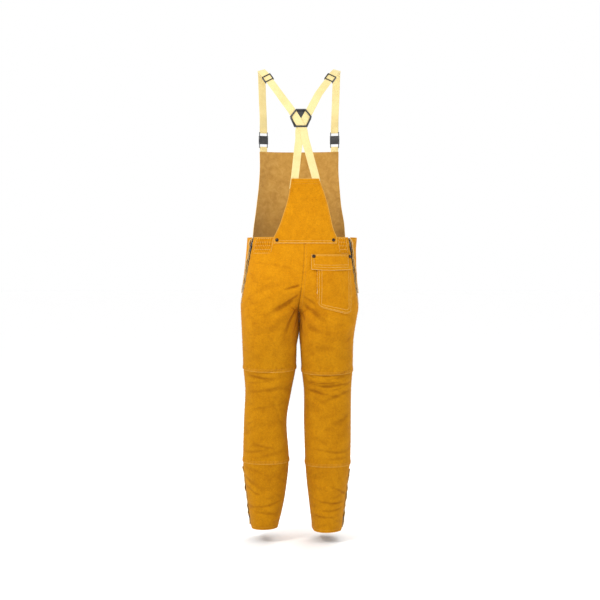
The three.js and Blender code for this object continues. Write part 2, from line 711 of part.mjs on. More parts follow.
// A place in a frame whose y runs along a strap and whose z points out of it.
function placeIn(frame, y, z, angle = 90) {
  const turn = THREE.MathUtils.degToRad(angle);
  const out = vec(0, Math.cos(turn), Math.sin(turn)).transformDirection(frame);
  return { point: vec(0, y, z).applyMatrix4(frame), out };
}

// The cross slider's frame: x to the wearer's left, y down, z out of the back, its origin on the back.
function crossFrame() {
  const upper = onBody(BACK, HEX.x, HEX.z + HEX.height / 2, 0).point;
  const lower = onBody(BACK, HEX.x, HEX.z - HEX.height / 2, 0).point;
  const down = lower.clone().sub(upper).normalize();
  const across = vec(-1, 0, 0);
  const origin = upper.add(lower).multiplyScalar(0.5);
  return new THREE.Matrix4().makeBasis(across, down, across.clone().cross(down)).setPosition(origin);
}
const hexTop = LAYER_GAP + HEX.plate; // top of the plate under the straps
const crossPitch = WEBBING.thick + 2 * LAYER_GAP; // from one strap to the other where they cross

// A strap's way through the cross slider, straight from the shoulder side to the bib side.
const CROSSING = {
  right: { enter: [-26, -19], leave: [1, 30], over: 0 },
  left: { enter: [26, -19], leave: [-4, 30], over: 1 },
};

// A shoulder's place on a strap: on the flat stretch that rests on it, or beyond.
function onShoulder(side, y, lift) {
  const slope = THREE.MathUtils.degToRad(SHOULDER.slope);
  const up = vec(side.sign * Math.sin(slope), 0, Math.cos(slope));
  return { point: vec(side.sign * SHOULDER.x, y, 0).addScaledVector(up, WEBBING.thick / 2 + lift), out: up };
}

// The doubled stretch over the shoulder, from the adjuster to the buckle; lift 0 is its inner layer.
function shoulderRun(side, lift) {
  const flat = SHOULDER.flatLength / 2;
  const straight = 6; // straight lead-in at each end, so that the curve leaves the stretch flat
  const frame = adjusterFrame(side);
  const back = [0, 8].map((d) => placeIn(frame, -ADJUSTER.length / 2 - d, lift - strapPitch));
  const front = (x, z) => onBody(FRONT, side.sign * x, z, strapLift + lift);
  const bend = onShoulder(side, flat + 20, lift);
  bend.point.z -= 5;
  bend.out.y = 0.35;
  return [
    ...back,
    onShoulder(side, -flat - straight, lift),
    onShoulder(side, -flat, lift),
    onShoulder(side, flat, lift),
    onShoulder(side, flat + straight, lift),
    bend,
    front(123, -52),
    front(122, -90),
    front(120, -140),
  ];
}

// The buckle's frame: x across, y down the strap, z out of the chest, its origin where the halves meet.
function buckleFrame(side) {
  const x = side.sign * BUCKLE.x;
  const bibTop = onBody(FRONT, x, WAIST_Z + FRONT_BIB.height, 0);
  const below = onBody(FRONT, x, WAIST_Z + FRONT_BIB.height - TAB_LENGTH, 0);
  const down = below.point.clone().sub(bibTop.point).normalize();
  const out = below.out.clone().addScaledVector(down, -below.out.dot(down)).normalize();
  const lift = 3 * LAYER_GAP + LEATHER + WEBBING.thick / 2 + loopRadius;
  const origin = bibTop.point.clone().addScaledVector(down, (BUCKLE.z - bibTop.point.z) / down.z);
  origin.addScaledVector(out, lift);
  return new THREE.Matrix4().makeBasis(down.clone().cross(out), down, out).setPosition(origin);
}

// Places round a bar at the height y of a frame, from the outer layer to the inner one.
function roundBar(frame, y, turnDown) {
  return [60, 30, 0, -30, -60].map((angle) => {
    const turn = THREE.MathUtils.degToRad(angle);
    const [dy, dz] = [turnDown * loopRadius * Math.cos(turn), loopRadius * Math.sin(turn)];
    return placeIn(frame, y + dy, dz, turnDown > 0 ? angle : 180 - angle);
  });
}

// One brace: from behind the back bib, through the cross slider, up to the other shoulder's adjuster,
// over the shoulder, round the buckle's bar and back, under itself, to the adjuster.
function strap(side) {
  const { enter, leave, over } = CROSSING[side.name];
  const corner = BACK_BIB.middle - side.sign * (BACK_BIB.left[0][1] - WEBBING.width * 0.4);
  const cross = crossFrame();
  const crossLift = hexTop + LAYER_GAP + WEBBING.thick / 2 + over * crossPitch;
  const inCross = ([x, y]) => ({
    point: vec(x, y, crossLift).applyMatrix4(cross),
    out: vec(0, 0, 1).transformDirection(cross),
  });
  const exit = inCross(leave);
  const within = (t) => inCross([mix(leave[0], enter[0], t), mix(leave[1], enter[1], t)]);
  const bibTop = WAIST_Z + BACK_BIB.height;
  const between = (t, lift) =>
    onBody(BACK, mix(corner, exit.point.x, t), mix(bibTop, exit.point.z, t), strapLift + lift);
  const { at, end } = adjusterAxes(side);
  const adjuster = adjusterFrame(side);
  const run = end.point.distanceTo(at);
  const halfway = {
    x: mix(RUN_END.x, HEX.x * side.sign + 26, 0.5),
    z: mix(RUN_END.z, HEX.z + 19, 0.5),
  };
  const keys = [
    onBody(BACK, corner - side.sign * STRAP_TAIL * 0.15, bibTop - STRAP_TAIL, strapLift),
    onBody(BACK, corner, bibTop, strapLift),
    between(0.35, over * crossPitch * 0.7),
    between(0.6, over * crossPitch),
    between(0.8, over * crossPitch + hexTop * 0.7),
    ...[-0.15, 0, 0.5, 1, 1.15].map(within),
    onBody(BACK, halfway.x * side.sign, halfway.z, strapLift + strapPitch),
    placeIn(adjuster, run + 6, 0),
    placeIn(adjuster, run, 0),
    placeIn(adjuster, 20, 0),
  ];
  const buckle = buckleFrame(side);
  const bar = -BUCKLE_BAR.reach;
  const outer = [
    placeIn(adjuster, 8, 0),
    placeIn(adjuster, -4, 0),
    ...shoulderRun(side, strapPitch),
    placeIn(buckle, bar - 12, loopRadius),
    placeIn(buckle, bar, loopRadius),
  ];
  const inner = [
    placeIn(buckle, bar, -loopRadius),
    placeIn(buckle, bar - 12, -loopRadius),
    ...shoulderRun(side, 0).slice(1).reverse(),
  ].map(({ point, out }) => ({ point, out: out.clone().negate() }));
  return band([...smooth(keys), ...smooth(outer), ...roundBar(buckle, bar, 1), ...smooth(inner)]);
}

// ---------------------------------------------------------------- strap hardware

const ADJUSTER_BAR = 2.2; // the middle bar that the strap's sewn end goes round
const endRadius = ADJUSTER_BAR / 2 + LAYER_GAP + WEBBING.thick / 2;
const barDepth = strapPitch + endRadius; // from the passing strap down to the middle bar

// Where an adjuster and its sewn strap end touch: the loop round the middle bar, sewn to itself.
function strapEnd(side) {
  const frame = adjusterFrame(side);
  const lower = -strapPitch * 2;
  const round = [60, 20, -20, -60].map((angle) => {
    const turn = THREE.MathUtils.degToRad(angle);
    return placeIn(frame, endRadius * Math.cos(turn), -barDepth + endRadius * Math.sin(turn), angle);
  });
  const turned = (y, z) => {
    const place = placeIn(frame, y, z);
    return { point: place.point, out: place.out.negate() };
  };
  return band([
    placeIn(frame, -ADJUSTER.length / 2 - 4, -strapPitch),
    placeIn(frame, -1, -strapPitch),
    ...round,
    turned(-1, -barDepth - endRadius),
    turned(-ADJUSTER.length / 2 + 2, lower - 0.6),
    turned(-ADJUSTER.length / 2 - 4, lower),
  ]);
}

// The adjuster: two bars over the strap, one under it, and a rail at each side.
function adjuster() {
  const { length, bar, thick, rail } = ADJUSTER;
  const inside = WEBBING.width / 2 + 0.5;
  const over = WEBBING.thick / 2 + LAYER_GAP;
  const under = -barDepth - ADJUSTER_BAR / 2 - 0.3;
  const outside = inside + rail;
  const endBar = (y) => block(-outside, outside, y - bar / 2, y + bar / 2, over, over + thick);
  const sideRail = (x0, x1) => block(x0, x1, -length / 2, length / 2, under, over + thick);
  const middle = new THREE.CylinderGeometry(ADJUSTER_BAR / 2, ADJUSTER_BAR / 2, 2 * inside + rail, 10);
  middle.rotateZ(Math.PI / 2).translate(0, 0, -barDepth);
  const ends = (length - bar) / 2;
  return join([endBar(-ends), endBar(ends), sideRail(-outside, -inside), sideRail(inside, outside), middle]);
}

// The cross slider: a hexagonal plate under the straps and a hexagonal rim over them, joined at the
// top between the straps and at the two lower sides.
function crossSlider() {
  const { halfWidth, height, flat, bar, thick, plate } = HEX;
  const hexagon = (inset) => {
    const [w, h, f] = [halfWidth - inset * 1.25, height / 2 - inset, flat - inset * 0.35];
    const corners = [[w, -4], [f, -h], [-f, -h], [-w, -4], [-f - 6, h], [f + 6, h]];
    return corners.map(([x, y]) => new THREE.Vector2(x, y));
  };
  const plateOf = (shape, depth, z) =>
    new THREE.ExtrudeGeometry(shape, { depth, bevelEnabled: false }).translate(0, 0, z);
  const rimZ = hexTop + strapPitch + crossPitch + LAYER_GAP;
  const rim = new THREE.Shape(hexagon(0));
  rim.holes.push(new THREE.Path(hexagon(bar).reverse()));
  const shapeOf = (corners) => new THREE.Shape(corners.map(([x, y]) => new THREE.Vector2(x, y)));
  const post = (corners) => plateOf(shapeOf(corners), rimZ - hexTop + 0.4, hexTop - 0.2);
  const top = height / 2;
  const side = (s) =>
    post([
      [s * (halfWidth - 1.5), 1.5], [s * (flat + 6.6), top - 4], [s * (flat + 4.6), top - 4],
      [s * (halfWidth - 5), 1.5],
    ]);
  const notch = post([[-4.5, 0.5 - top], [4.5, 0.5 - top], [2.5, 4 - top], [-2.5, 4 - top]]);
  const under = plateOf(new THREE.Shape(hexagon(0.6)), plate, LAYER_GAP);
  return join([plateOf(rim, thick, rimZ), under, side(1), side(-1), notch]).applyMatrix4(crossFrame());
}

// The rails and the bar that webbing goes round, at one end of a buckle half.
function barFrame(from, bar) {
  const { thick, rail } = BUCKLE_BAR;
  const outside = BUCKLE.width / 2;
  const inside = WEBBING.width / 2 + 0.5;
  const [y0, y1] = [Math.min(from, bar - thick / 2), Math.max(from, bar + thick / 2)];
  return [
    block(-outside, -inside, y0, y1, -thick / 2, thick / 2),
    block(inside, outside, y0, y1, -thick / 2, thick / 2),
    block(-inside - rail / 2, inside + rail / 2, bar - thick / 2, bar + thick / 2, -thick / 2, thick / 2),
  ];
}

const tabBar = BUCKLE.length + BUCKLE_BAR.reach - BUCKLE.shoulder;
const BUCKLE_GAP = 0.4; // between the two halves, and round the prongs

// The half on the bib: a housing open at the top, with a window at each side, over its bar.
function buckleFemale() {
  const { width, thick, wall, length } = BUCKLE;
  const [w, t] = [width / 2, thick / 2];
  const housing = block(-w, w, BUCKLE_GAP, length, -t, t);
  const inside = block(-w + wall, w - wall, -5, length - wall, -t + wall, t - wall);
  const windows = block(-w - 5, w + 5, 8, 16, -t + wall, t - wall);
  return join([cut(housing, [inside, windows]), ...barFrame(length - 1, tabBar)]);
}

// The half on the strap: a shoulder, a guide and two prongs in the housing, under its bar.
function buckleMale() {
  const { width, thick, wall, shoulder } = BUCKLE;
  const [w, t] = [width / 2, thick / 2];
  const deep = t - wall - BUCKLE_GAP;
  const reach = w - wall - BUCKLE_GAP;
  const prong = (s) => [
    block(Math.min(s * 7.5, s * 10.5), Math.max(s * 7.5, s * 10.5), -1, 15, -deep, deep),
    block(Math.min(s * 7.5, s * reach), Math.max(s * 7.5, s * reach), 8.5, 15, -deep, deep),
  ];
  return join([
    block(-w, w, -shoulder, 0, -t, t),
    block(-2, 2, -1, 13, -deep, deep),
    ...prong(1),
    ...prong(-1),
    ...barFrame(-shoulder + 1, -BUCKLE_BAR.reach),
  ]);
}

// The webbing tab on the bib, round the female half's bar.
function buckleTab(side) {
  const frame = buckleFrame(side);
  const outer = -loopRadius + strapPitch;
  return band([
    { ...placeIn(frame, tabBar + TAB_LENGTH, outer) },
    { ...placeIn(frame, tabBar + 14, outer) },
    { ...placeIn(frame, tabBar + 1, loopRadius) },
    ...roundBar(frame, tabBar, -1),
    ...[1, 14, TAB_LENGTH].map((d) => {
      const { point, out } = placeIn(frame, tabBar + d, -loopRadius);
      return { point, out: out.negate() };
    }),
  ]);
}

// ---------------------------------------------------------------- assembly

const LEATHER_LOOK = { color: 0xd8920f, roughness: 0.95, metalness: 0 };
const WEBBING_LOOK = { color: 0xf3dc98, roughness: 0.85, metalness: 0 };
const PLASTIC_LOOK = { color: 0x2b2c30, roughness: 0.5, metalness: 0 };
const BRONZE_LOOK = { color: 0x3a2a1e, roughness: 0.45, metalness: 0.8 };
const TAPE_LOOK = { color: 0x17171a, roughness: 0.8, metalness: 0 };
const STEEL_LOOK = { color: 0x55565a, roughness: 0.35, metalness: 0.9 };

const overalls = new THREE.Group();

function add(name, geometry, look, frame) {
  const mesh = new THREE.Mesh(geometry, new THREE.MeshStandardMaterial(look));
  mesh.name = name;
  if (frame) mesh.applyMatrix4(frame);
  overalls.add(mesh);
  return mesh;
}

// Records how a mesh moves: the kind, a point and a direction of its axis, and how far.
function moves(mesh, type, point, axis, to) {
  mesh.userData.joint = { type, point: point.toArray(), axis: axis.toArray(), range: [0, to] };
}

add("back_bib", cut(backBib(), [studHole(waist_stud_left), studHole(waist_stud_right)]), LEATHER_LOOK);
add("front_bib", frontBib(), LEATHER_LOOK);

for (const side of [LEFT, RIGHT]) {
  const knee = crotchOf(side) - KNEE_SEAM;
  const calf = crotchOf(side) - CALF_SEAM;
  const lap = SEAM_GAP / 2;
  const hole = studHole(side === LEFT ? waist_stud_left : waist_stud_right);
  for (const face of [BACK, FRONT]) {
    const where = face === BACK ? "back" : "front";
    const seat = trouserPanel(side, face, WAIST_Z, knee + lap, 12);
    const cutSeat = face === BACK ? cut(seat, [hole]) : seat;
    add(`${where}_thigh_${side.name}`, cutSeat, LEATHER_LOOK);
    add(`${where}_knee_${side.name}`, trouserPanel(side, face, knee - lap, calf + lap, 8), LEATHER_LOOK);
    add(`${where}_calf_${side.name}`, trouserPanel(side, face, calf - lap, hemOf(side), 8), LEATHER_LOOK);
  }
  add(`waist_elastic_${side.name}`, waistStrip(side, ELASTIC.height, elasticDepth, ELASTIC.thick), WEBBING_LOOK);
  add(`waist_facing_${side.name}`, waistStrip(side, FACING.height, facingDepth, FACING.thick), LEATHER_LOOK);

  for (const kind of ["hip", "ankle"]) {
    const { down, across, top, bottom } = zipAxes(side, kind);
    const frame = sliderFrame(side, kind);
    const park = vec().setFromMatrixPosition(frame);
    const travel = top.distanceTo(bottom) - SLIDER_PARK[kind] - SLIDER.length;
    const opening = kind === "hip" ? down : down.clone().negate();
    add(`${kind}_zip_tape_back_${side.name}`, zipTape(side, BACK, kind), TAPE_LOOK);
    add(`${kind}_zip_tape_front_${side.name}`, zipTape(side, FRONT, kind), TAPE_LOOK);
    const slider = add(`${kind}_zip_slider_${side.name}`, zipSlider(), STEEL_LOOK, frame);
    moves(slider, "slide", park, opening, travel);
    const pull = add(`${kind}_zip_pull_${side.name}`, zipPull(), STEEL_LOOK, frame);
    moves(pull, "hinge", vec(0, 0, pullAxis).applyMatrix4(frame), across, 150);
    const flap = add(`${kind}_placket_${side.name}`, placket(side, kind), LEATHER_LOOK);
    const [head, foot] = placketLines(side, kind)[2].ends;
    moves(flap, "hinge", head, foot.clone().sub(head).normalize().multiplyScalar(-side.sign), 60);
  }
}

add("back_pocket", pocket(), LEATHER_LOOK);
const flapHoles = [studHole(flap_stud_inner), studHole(flap_stud_outer)];
const flap = add("pocket_flap", cut(pocketFlap(), flapHoles), LEATHER_LOOK);
for (const [name, place] of Object.entries(STUDS)) add(name, stud(place), BRONZE_LOOK);
{
  const left = onBody(BACK, FLAP.left, flapTop, flapOffset).point;
  const right = onBody(BACK, rightEdgeX(flapTop, FLAP.seamClear), flapTop, flapOffset).point;
  moves(flap, "hinge", left.clone().lerp(right, 0.5), left.clone().sub(right).normalize(), 45);
}

add("cross_slider", crossSlider(), PLASTIC_LOOK);
for (const side of [LEFT, RIGHT]) {
  add(`strap_${side.name}`, strap(side), WEBBING_LOOK);
  const runner = add(`adjuster_${side.name}`, adjuster(), PLASTIC_LOOK, adjusterFrame(side));
  moves(runner, "slide", adjusterAxes(side).at, adjusterAxes(side).down, ADJUSTER.travel);
  add(`strap_end_${side.name}`, strapEnd(side), WEBBING_LOOK);
  const frame = buckleFrame(side);
  add(`buckle_male_${side.name}`, buckleMale(), PLASTIC_LOOK, frame);
  const female = add(`buckle_female_${side.name}`, buckleFemale(), PLASTIC_LOOK, frame);
  const clasp = vec().setFromMatrixPosition(frame);
  moves(female, "slide", clasp, vec(0, 1, 0).transformDirection(frame), BUCKLE.travel);
  add(`buckle_tab_${side.name}`, buckleTab(side), WEBBING_LOOK);
}

export default overalls;
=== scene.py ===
"""The looks of a welder's bib overalls in golden split leather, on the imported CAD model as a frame.

Lengths in this script are millimetres in the frame's axes (+X the wearer's right, +Y forward, +Z up),
and MM turns them into Blender's metres when a mesh is made.
"""
import json
import math
from itertools import permutations

import bmesh
import bpy
import numpy as np
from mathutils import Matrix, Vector


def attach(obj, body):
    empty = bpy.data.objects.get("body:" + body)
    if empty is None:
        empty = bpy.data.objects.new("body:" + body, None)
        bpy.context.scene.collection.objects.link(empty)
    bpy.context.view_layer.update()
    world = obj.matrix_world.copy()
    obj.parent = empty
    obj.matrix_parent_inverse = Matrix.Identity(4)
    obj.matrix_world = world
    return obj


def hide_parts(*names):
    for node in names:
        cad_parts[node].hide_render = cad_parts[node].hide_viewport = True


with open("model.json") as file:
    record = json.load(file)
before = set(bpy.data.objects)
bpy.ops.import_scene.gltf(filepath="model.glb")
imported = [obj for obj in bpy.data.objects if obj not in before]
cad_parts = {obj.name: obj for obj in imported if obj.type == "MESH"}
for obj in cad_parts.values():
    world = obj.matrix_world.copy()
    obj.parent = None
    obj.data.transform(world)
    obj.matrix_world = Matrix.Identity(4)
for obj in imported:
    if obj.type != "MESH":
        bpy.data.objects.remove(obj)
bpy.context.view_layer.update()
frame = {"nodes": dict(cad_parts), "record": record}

MM = 0.001

# ---------------- the garment's form, as in the CAD

RIGHT, LEFT = 1, -1
FRONT, BACK = 1, -1
WAIST_Z = -547  # top edge of the trousers
CROTCH_Z = -783
LEG_LENGTH = 719
KNEE_SEAM = 192  # both leg seams, below the crotch
CALF_SEAM = 497
SEAT_CURVE = 84  # height over which the two legs merge into the seat
SEAT_BLEND = 56  # how far below the crotch the outer side starts to merge
SQUARENESS = 2.3  # exponent of the superellipse sections
SEAM_GAP = 0.3
BIB_LAP = 21  # how far both bibs reach down over the trousers
DROP = {RIGHT: 9, LEFT: 0}  # how much lower each leg hangs
CAD_LEATHER = 1.4
LINING_GAP = 0.75
LAYER_GAP = 0.35

# Tables of (height, value). The first three run by height against the crotch: how far the surface reaches
# to the back and to the front, and how far the centre seams lie to the wearer's right at the back.
BACK_DEPTH = [
    (773, 30), (754, 58), (707, 92), (663, 108), (615, 115), (533, 119), (424, 112), (333, 104),
    (235, 108), (172, 120), (123, 131), (63, 136), (0, 130), (-97, 106), (-192, 88), (-267, 82),
    (-367, 86), (-496, 90), (-554, 88), (-611, 86), (-672, 84), (-719, 82),
]
FRONT_DEPTH = [
    (763, 46), (733, 72), (683, 94), (583, 112), (483, 118), (333, 112), (235, 112), (123, 118),
    (63, 117), (0, 107), (-97, 98), (-192, 84), (-267, 78), (-367, 66), (-496, 62), (-554, 66),
    (-611, 76), (-672, 90), (-719, 104),
]
CENTRE_SHIFT = [(236, 18), (160, 16), (80, 9), (0, 0)]
CHEST_EXTRA = [(533, 10), (235, 0)]  # how much the chest is wider than the waist, on each side
# How far each leg reaches from the middle plane, and how far behind it the side seam lies.
OUTER = {
    RIGHT: [(0, 195), (-97, 180), (-192, 177), (-267, 172), (-496, 169), (-554, 160), (-611, 150),
            (-719, 142)],
    LEFT: [(0, 192), (-97, 188), (-192, 184), (-267, 178), (-367, 182), (-496, 185), (-554, 181),
           (-611, 171), (-719, 160)],
}
INNER = {
    RIGHT: [(0, 1), (-97, 3), (-192, 8), (-267, 16), (-367, 16), (-496, 20), (-554, 24), (-611, 30),
            (-719, 43)],
    LEFT: [(0, 1), (-97, 7), (-192, 11), (-267, 25), (-367, 41), (-496, 34), (-611, 46), (-672, 58),
           (-719, 70)],
}
SEAM_BEHIND = [(31, 42), (-97, 20), (-220, 12), (-719, 12)]

ZIP_EDGE = 6  # how far the leather stays back from a zip's middle
HIP_ZIP_TOP = {RIGHT: 165, LEFT: 153}  # x of each hip zip's upper end
HIP_ZIP = {"behind": 60, "length": 205, "top_gap": 11}
ANKLE_ZIP = {"length": 200, "hem_gap": 3}
BACK_BIB = {
    "middle": 20, "height": 188, "off_top": 2.0,
    "left": [(188, 44), (121, 56), (69, 72), (30, 86), (0, 101)],
    "right": [(188, 44), (121, 67), (69, 80), (30, 89), (0, 101)],
}
FRONT_BIB = {"height": 292, "half": [(292, 132), (220, 132), (120, 140), (50, 150), (0, 154)]}
POCKET = {
    "left": 58, "seam_clear": 9, "top": 78, "bottom_left": 225, "bottom_right": 253, "corner": 24,
    "flat": 165, "rows_over": 170, "lift": 1.3,
}
FLAP = {"left": 39, "seam_clear": 13, "top": 57, "height": 49, "sag": 3}
PLACKET = {"edge": 6.5, "width": 27, "hip_length": 178, "end_gap": 5}
CASING_HEIGHT = 48

LEATHER = 1.9  # how thick the split cowhide looks at its cut edges
GRID = 4  # the usual distance between the points of a sheet's grid
SMOOTH_ANGLE = 48  # degrees; sharper edges of a new mesh stay sharp
STITCH = {"pitch": 4.4, "length": 3.1, "radius": 0.55}


def along(table, z):
    """A smooth curve through (height, value) pairs listed from the top down; z is a number or an array."""
    heights = np.array([h for h, _ in table], float)
    values = np.array([v for _, v in table], float)
    slopes = np.empty(len(table))
    slopes[1:-1] = (values[2:] - values[:-2]) / (heights[2:] - heights[:-2])
    slopes[0] = (values[1] - values[0]) / (heights[1] - heights[0])
    slopes[-1] = (values[-1] - values[-2]) / (heights[-1] - heights[-2])
    z = np.clip(z, heights[-1], heights[0])
    i = np.clip(np.searchsorted(-heights, -z, side="right") - 1, 0, len(table) - 2)
    span = heights[i + 1] - heights[i]
    t = (z - heights[i]) / span
    rise = t * t * (3 - 2 * t)
    bend = t * (1 - t) ** 2 * slopes[i] - t * t * (1 - t) * slopes[i + 1]
    return values[i] * (1 - rise) + values[i + 1] * rise + span * bend


def smoothstep(x, low, high):
    t = np.clip((x - low) / (high - low), 0, 1)
    return t * t * (3 - 2 * t)


def power(v, e):
    return np.sign(v) * np.abs(v) ** e


def mix(a, b, t):
    return a + (b - a) * t


def crotch(side):
    return CROTCH_Z - DROP[side]


def hem(side):
    return crotch(side) - LEG_LENGTH


def depth(z):
    """The middle of the body and half its depth, front to back."""
    back = along(BACK_DEPTH, z - CROTCH_Z)
    front = along(FRONT_DEPTH, z - CROTCH_Z)
    return (front - back) / 2, (front + back) / 2


def centre_of(side, face, z):
    return -side * face * along(CENTRE_SHIFT, z - CROTCH_Z)


def width_share(y, z):
    """The share of a section's half width that is left at y."""
    middle, half = depth(z)
    return (1 - abs((y - middle) / half) ** SQUARENESS) ** (1 / SQUARENESS)


def plain_seam(side, z):
    """The side seam as it would run without zips."""
    level = z - CROTCH_Z
    y = -along(SEAM_BEHIND, level)
    outer, inner = along(OUTER[side], level), along(INNER[side], level)
    return np.array([side * ((outer + inner) / 2 + (outer - inner) / 2 * width_share(y, z)), y, z])


def zip_line(side, kind):
    if kind == "ankle":
        bottom = hem(side) + ANKLE_ZIP["hem_gap"]
        return plain_seam(side, bottom + ANKLE_ZIP["length"]), plain_seam(side, bottom)
    top = WAIST_Z - HIP_ZIP["top_gap"]
    first = np.array([side * HIP_ZIP_TOP[side], -HIP_ZIP["behind"], top])
    return first, plain_seam(side, top - HIP_ZIP["length"])


ZIP_LINES = {(side, kind): zip_line(side, kind) for side in (LEFT, RIGHT) for kind in ("hip", "ankle")}


def seam_at(side, z):
    """The side seam, which runs along the zips where there are any."""
    for kind in ("hip", "ankle"):
        top, bottom = ZIP_LINES[side, kind]
        on_zip = z > bottom[2] if kind == "hip" else z < top[2]
        if on_zip:
            return top + (bottom - top) * (top[2] - z) / (top[2] - bottom[2])
    return plain_seam(side, z)


def half_section(side, face, z, steps=72):
    """Half a section of the trousers, from the side seam to the inseam or a centre seam."""
    seam = seam_at(side, z)
    x = abs(seam[0])
    middle, half = depth(z)
    e = 2 / SQUARENESS
    start = math.asin(np.clip(power((seam[1] - middle) / half, 1 / e), -1, 1))
    reach = math.cos(start) ** e
    centre = centre_of(side, face, z) + SEAM_GAP / 2
    inner = along(INNER[side], z - CROTCH_Z)
    leg_middle = (x + inner * reach) / (1 + reach)
    rise = np.clip((z - crotch(side)) / SEAT_CURVE, 0, 1)
    steep = (1 - (1 - rise) ** 2) ** 0.65
    gentle = smoothstep(z - crotch(side), -SEAT_BLEND, SEAT_CURVE)
    t = np.linspace(0, 1, steps + 1)
    merged = mix(gentle, steep, t ** 3)
    leg = mix(start, face * math.pi, t)
    hip = mix(start, face * math.pi / 2, t)
    leg_x = leg_middle + (leg_middle - inner) * power(np.cos(leg), e)
    hip_x = centre + (x - centre) / reach * power(np.maximum(np.cos(hip), 0), e)
    deep = mix(power(np.sin(leg), e), power(np.sin(hip), e), merged)
    return np.stack([side * mix(leg_x, hip_x, merged), middle + half * deep, np.full_like(t, z)], 1)


def lengths_along(points):
    """How far along a line each of its points lies."""
    return np.concatenate([[0], np.cumsum(np.linalg.norm(np.diff(points, axis=0), axis=1))])


def read_at(distances, reached, vectors):
    """Vectors between those of a line whose points lie at the distances in reached."""
    return np.stack([np.interp(distances, reached, vectors[:, k]) for k in range(3)], 1)


def walk(points, distances):
    """The places at some distances along a line, and the length of the whole line."""
    reached = lengths_along(points)
    return read_at(distances, reached, points), reached[-1]


def girth_at(side, face, z):
    return walk(half_section(side, face, z), [0])[1]


def body_depth(face, x, z):
    """How deep the whole body is at a place of the hips or the chest; x and z are arrays."""
    x, z = np.broadcast_arrays(np.asarray(x, float), np.asarray(z, float))
    shift = -face * along(CENTRE_SHIFT, z - CROTCH_Z)
    level = np.minimum(z, WAIST_Z)
    width = np.empty(x.shape)
    for i in np.ndindex(x.shape):
        side = RIGHT if x[i] > shift[i] else LEFT
        key = (side, face, round(float(level[i]), 2))
        if key not in body_depth.known:
            seam = seam_at(side, level[i])
            share = width_share(seam[1], level[i])
            body_depth.known[key] = (abs(seam[0]) - centre_of(side, face, level[i])) / share
        width[i] = body_depth.known[key]
    share = np.abs(x - shift) / (width + along(CHEST_EXTRA, z - CROTCH_Z))
    middle, half = depth(z)
    return middle + face * half * (1 - np.minimum(share, 0.99) ** SQUARENESS) ** (1 / SQUARENESS)


body_depth.known = {}

# ---------------- folds in the leather

# Folds seen on the worn garment, for each side and face: distance from the side seam, height against
# the crotch, direction in degrees from level (rising towards the centre), half length, half width, height.
FOLDS = {
    (LEFT, BACK): [
        (205, 22, 24, 62, 11, -4.5), (190, -8, 38, 70, 12, 3.5), (222, -40, 55, 58, 9, -3.5),
        (150, 60, 14, 70, 22, 2.5), (120, -70, 8, 70, 16, -2), (60, -120, -16, 60, 14, 2),
        (90, -222, -10, 60, 9, -3), (150, -240, 14, 55, 9, 3), (110, -262, 6, 70, 9, -2.6),
        (150, -310, 16, 70, 16, -2), (60, -335, -14, 70, 16, 2), (140, -370, 8, 66, 15, -1.6),
        (90, -430, -14, 60, 14, 2.2), (150, -470, 12, 50, 9, -2), (60, -560, -28, 52, 10, -2.6),
        (120, -600, 18, 60, 10, 2.4), (70, -650, -12, 60, 9, -2.4), (150, -680, 10, 46, 8, 2),
    ],
    (RIGHT, BACK): [
        (215, 14, 30, 56, 10, -4), (196, -22, 42, 64, 11, 3.4), (170, -60, 20, 60, 12, -2.6),
        (60, -40, -22, 60, 13, 2.4), (110, -110, 6, 72, 17, -2), (50, -160, -24, 56, 12, 2.4),
        (70, -205, -14, 60, 8, -3.4), (120, -218, 4, 70, 7, 3.2), (90, -236, -8, 66, 7, -3.6),
        (130, -252, 12, 60, 7, 3), (80, -270, -18, 58, 8, -3), (150, -300, 26, 50, 9, 2.6),
        (70, -350, -26, 66, 12, -2.4), (130, -400, 16, 66, 14, 2.2), (60, -450, -12, 56, 12, -2.2),
        (140, -560, 20, 54, 10, 2.2), (70, -600, -20, 56, 10, -2.4), (120, -655, 8, 60, 9, 2.2),
    ],
    (LEFT, FRONT): [
        (200, 30, 30, 64, 12, -4), (170, -20, 44, 70, 13, 3), (100, -120, 10, 70, 18, 2.2),
        (90, -230, -12, 60, 12, -2.6), (140, -270, 14, 60, 12, 2.4), (80, -420, -10, 66, 14, -2.2),
        (110, -600, 10, 60, 11, -3), (90, -650, -8, 66, 10, 3), (120, -690, 6, 60, 8, -2.4),
    ],
    (RIGHT, FRONT): [
        (200, 26, 30, 64, 12, -4), (170, -30, 40, 70, 13, 3), (90, -110, -10, 70, 18, 2.2),
        (110, -240, 12, 60, 12, -2.6), (70, -290, -14, 60, 12, 2.4), (100, -430, 10, 66, 14, -2.2),
        (90, -600, -10, 60, 11, -3), (110, -655, 8, 66, 10, 3), (80, -690, -6, 60, 8, -2.4),
    ],
}

FOLD_DEPTH = 1.05  # all folds are scaled by this
FOLD_BOW = -0.001  # how fast a fold's ends bend down where its row doesn't say

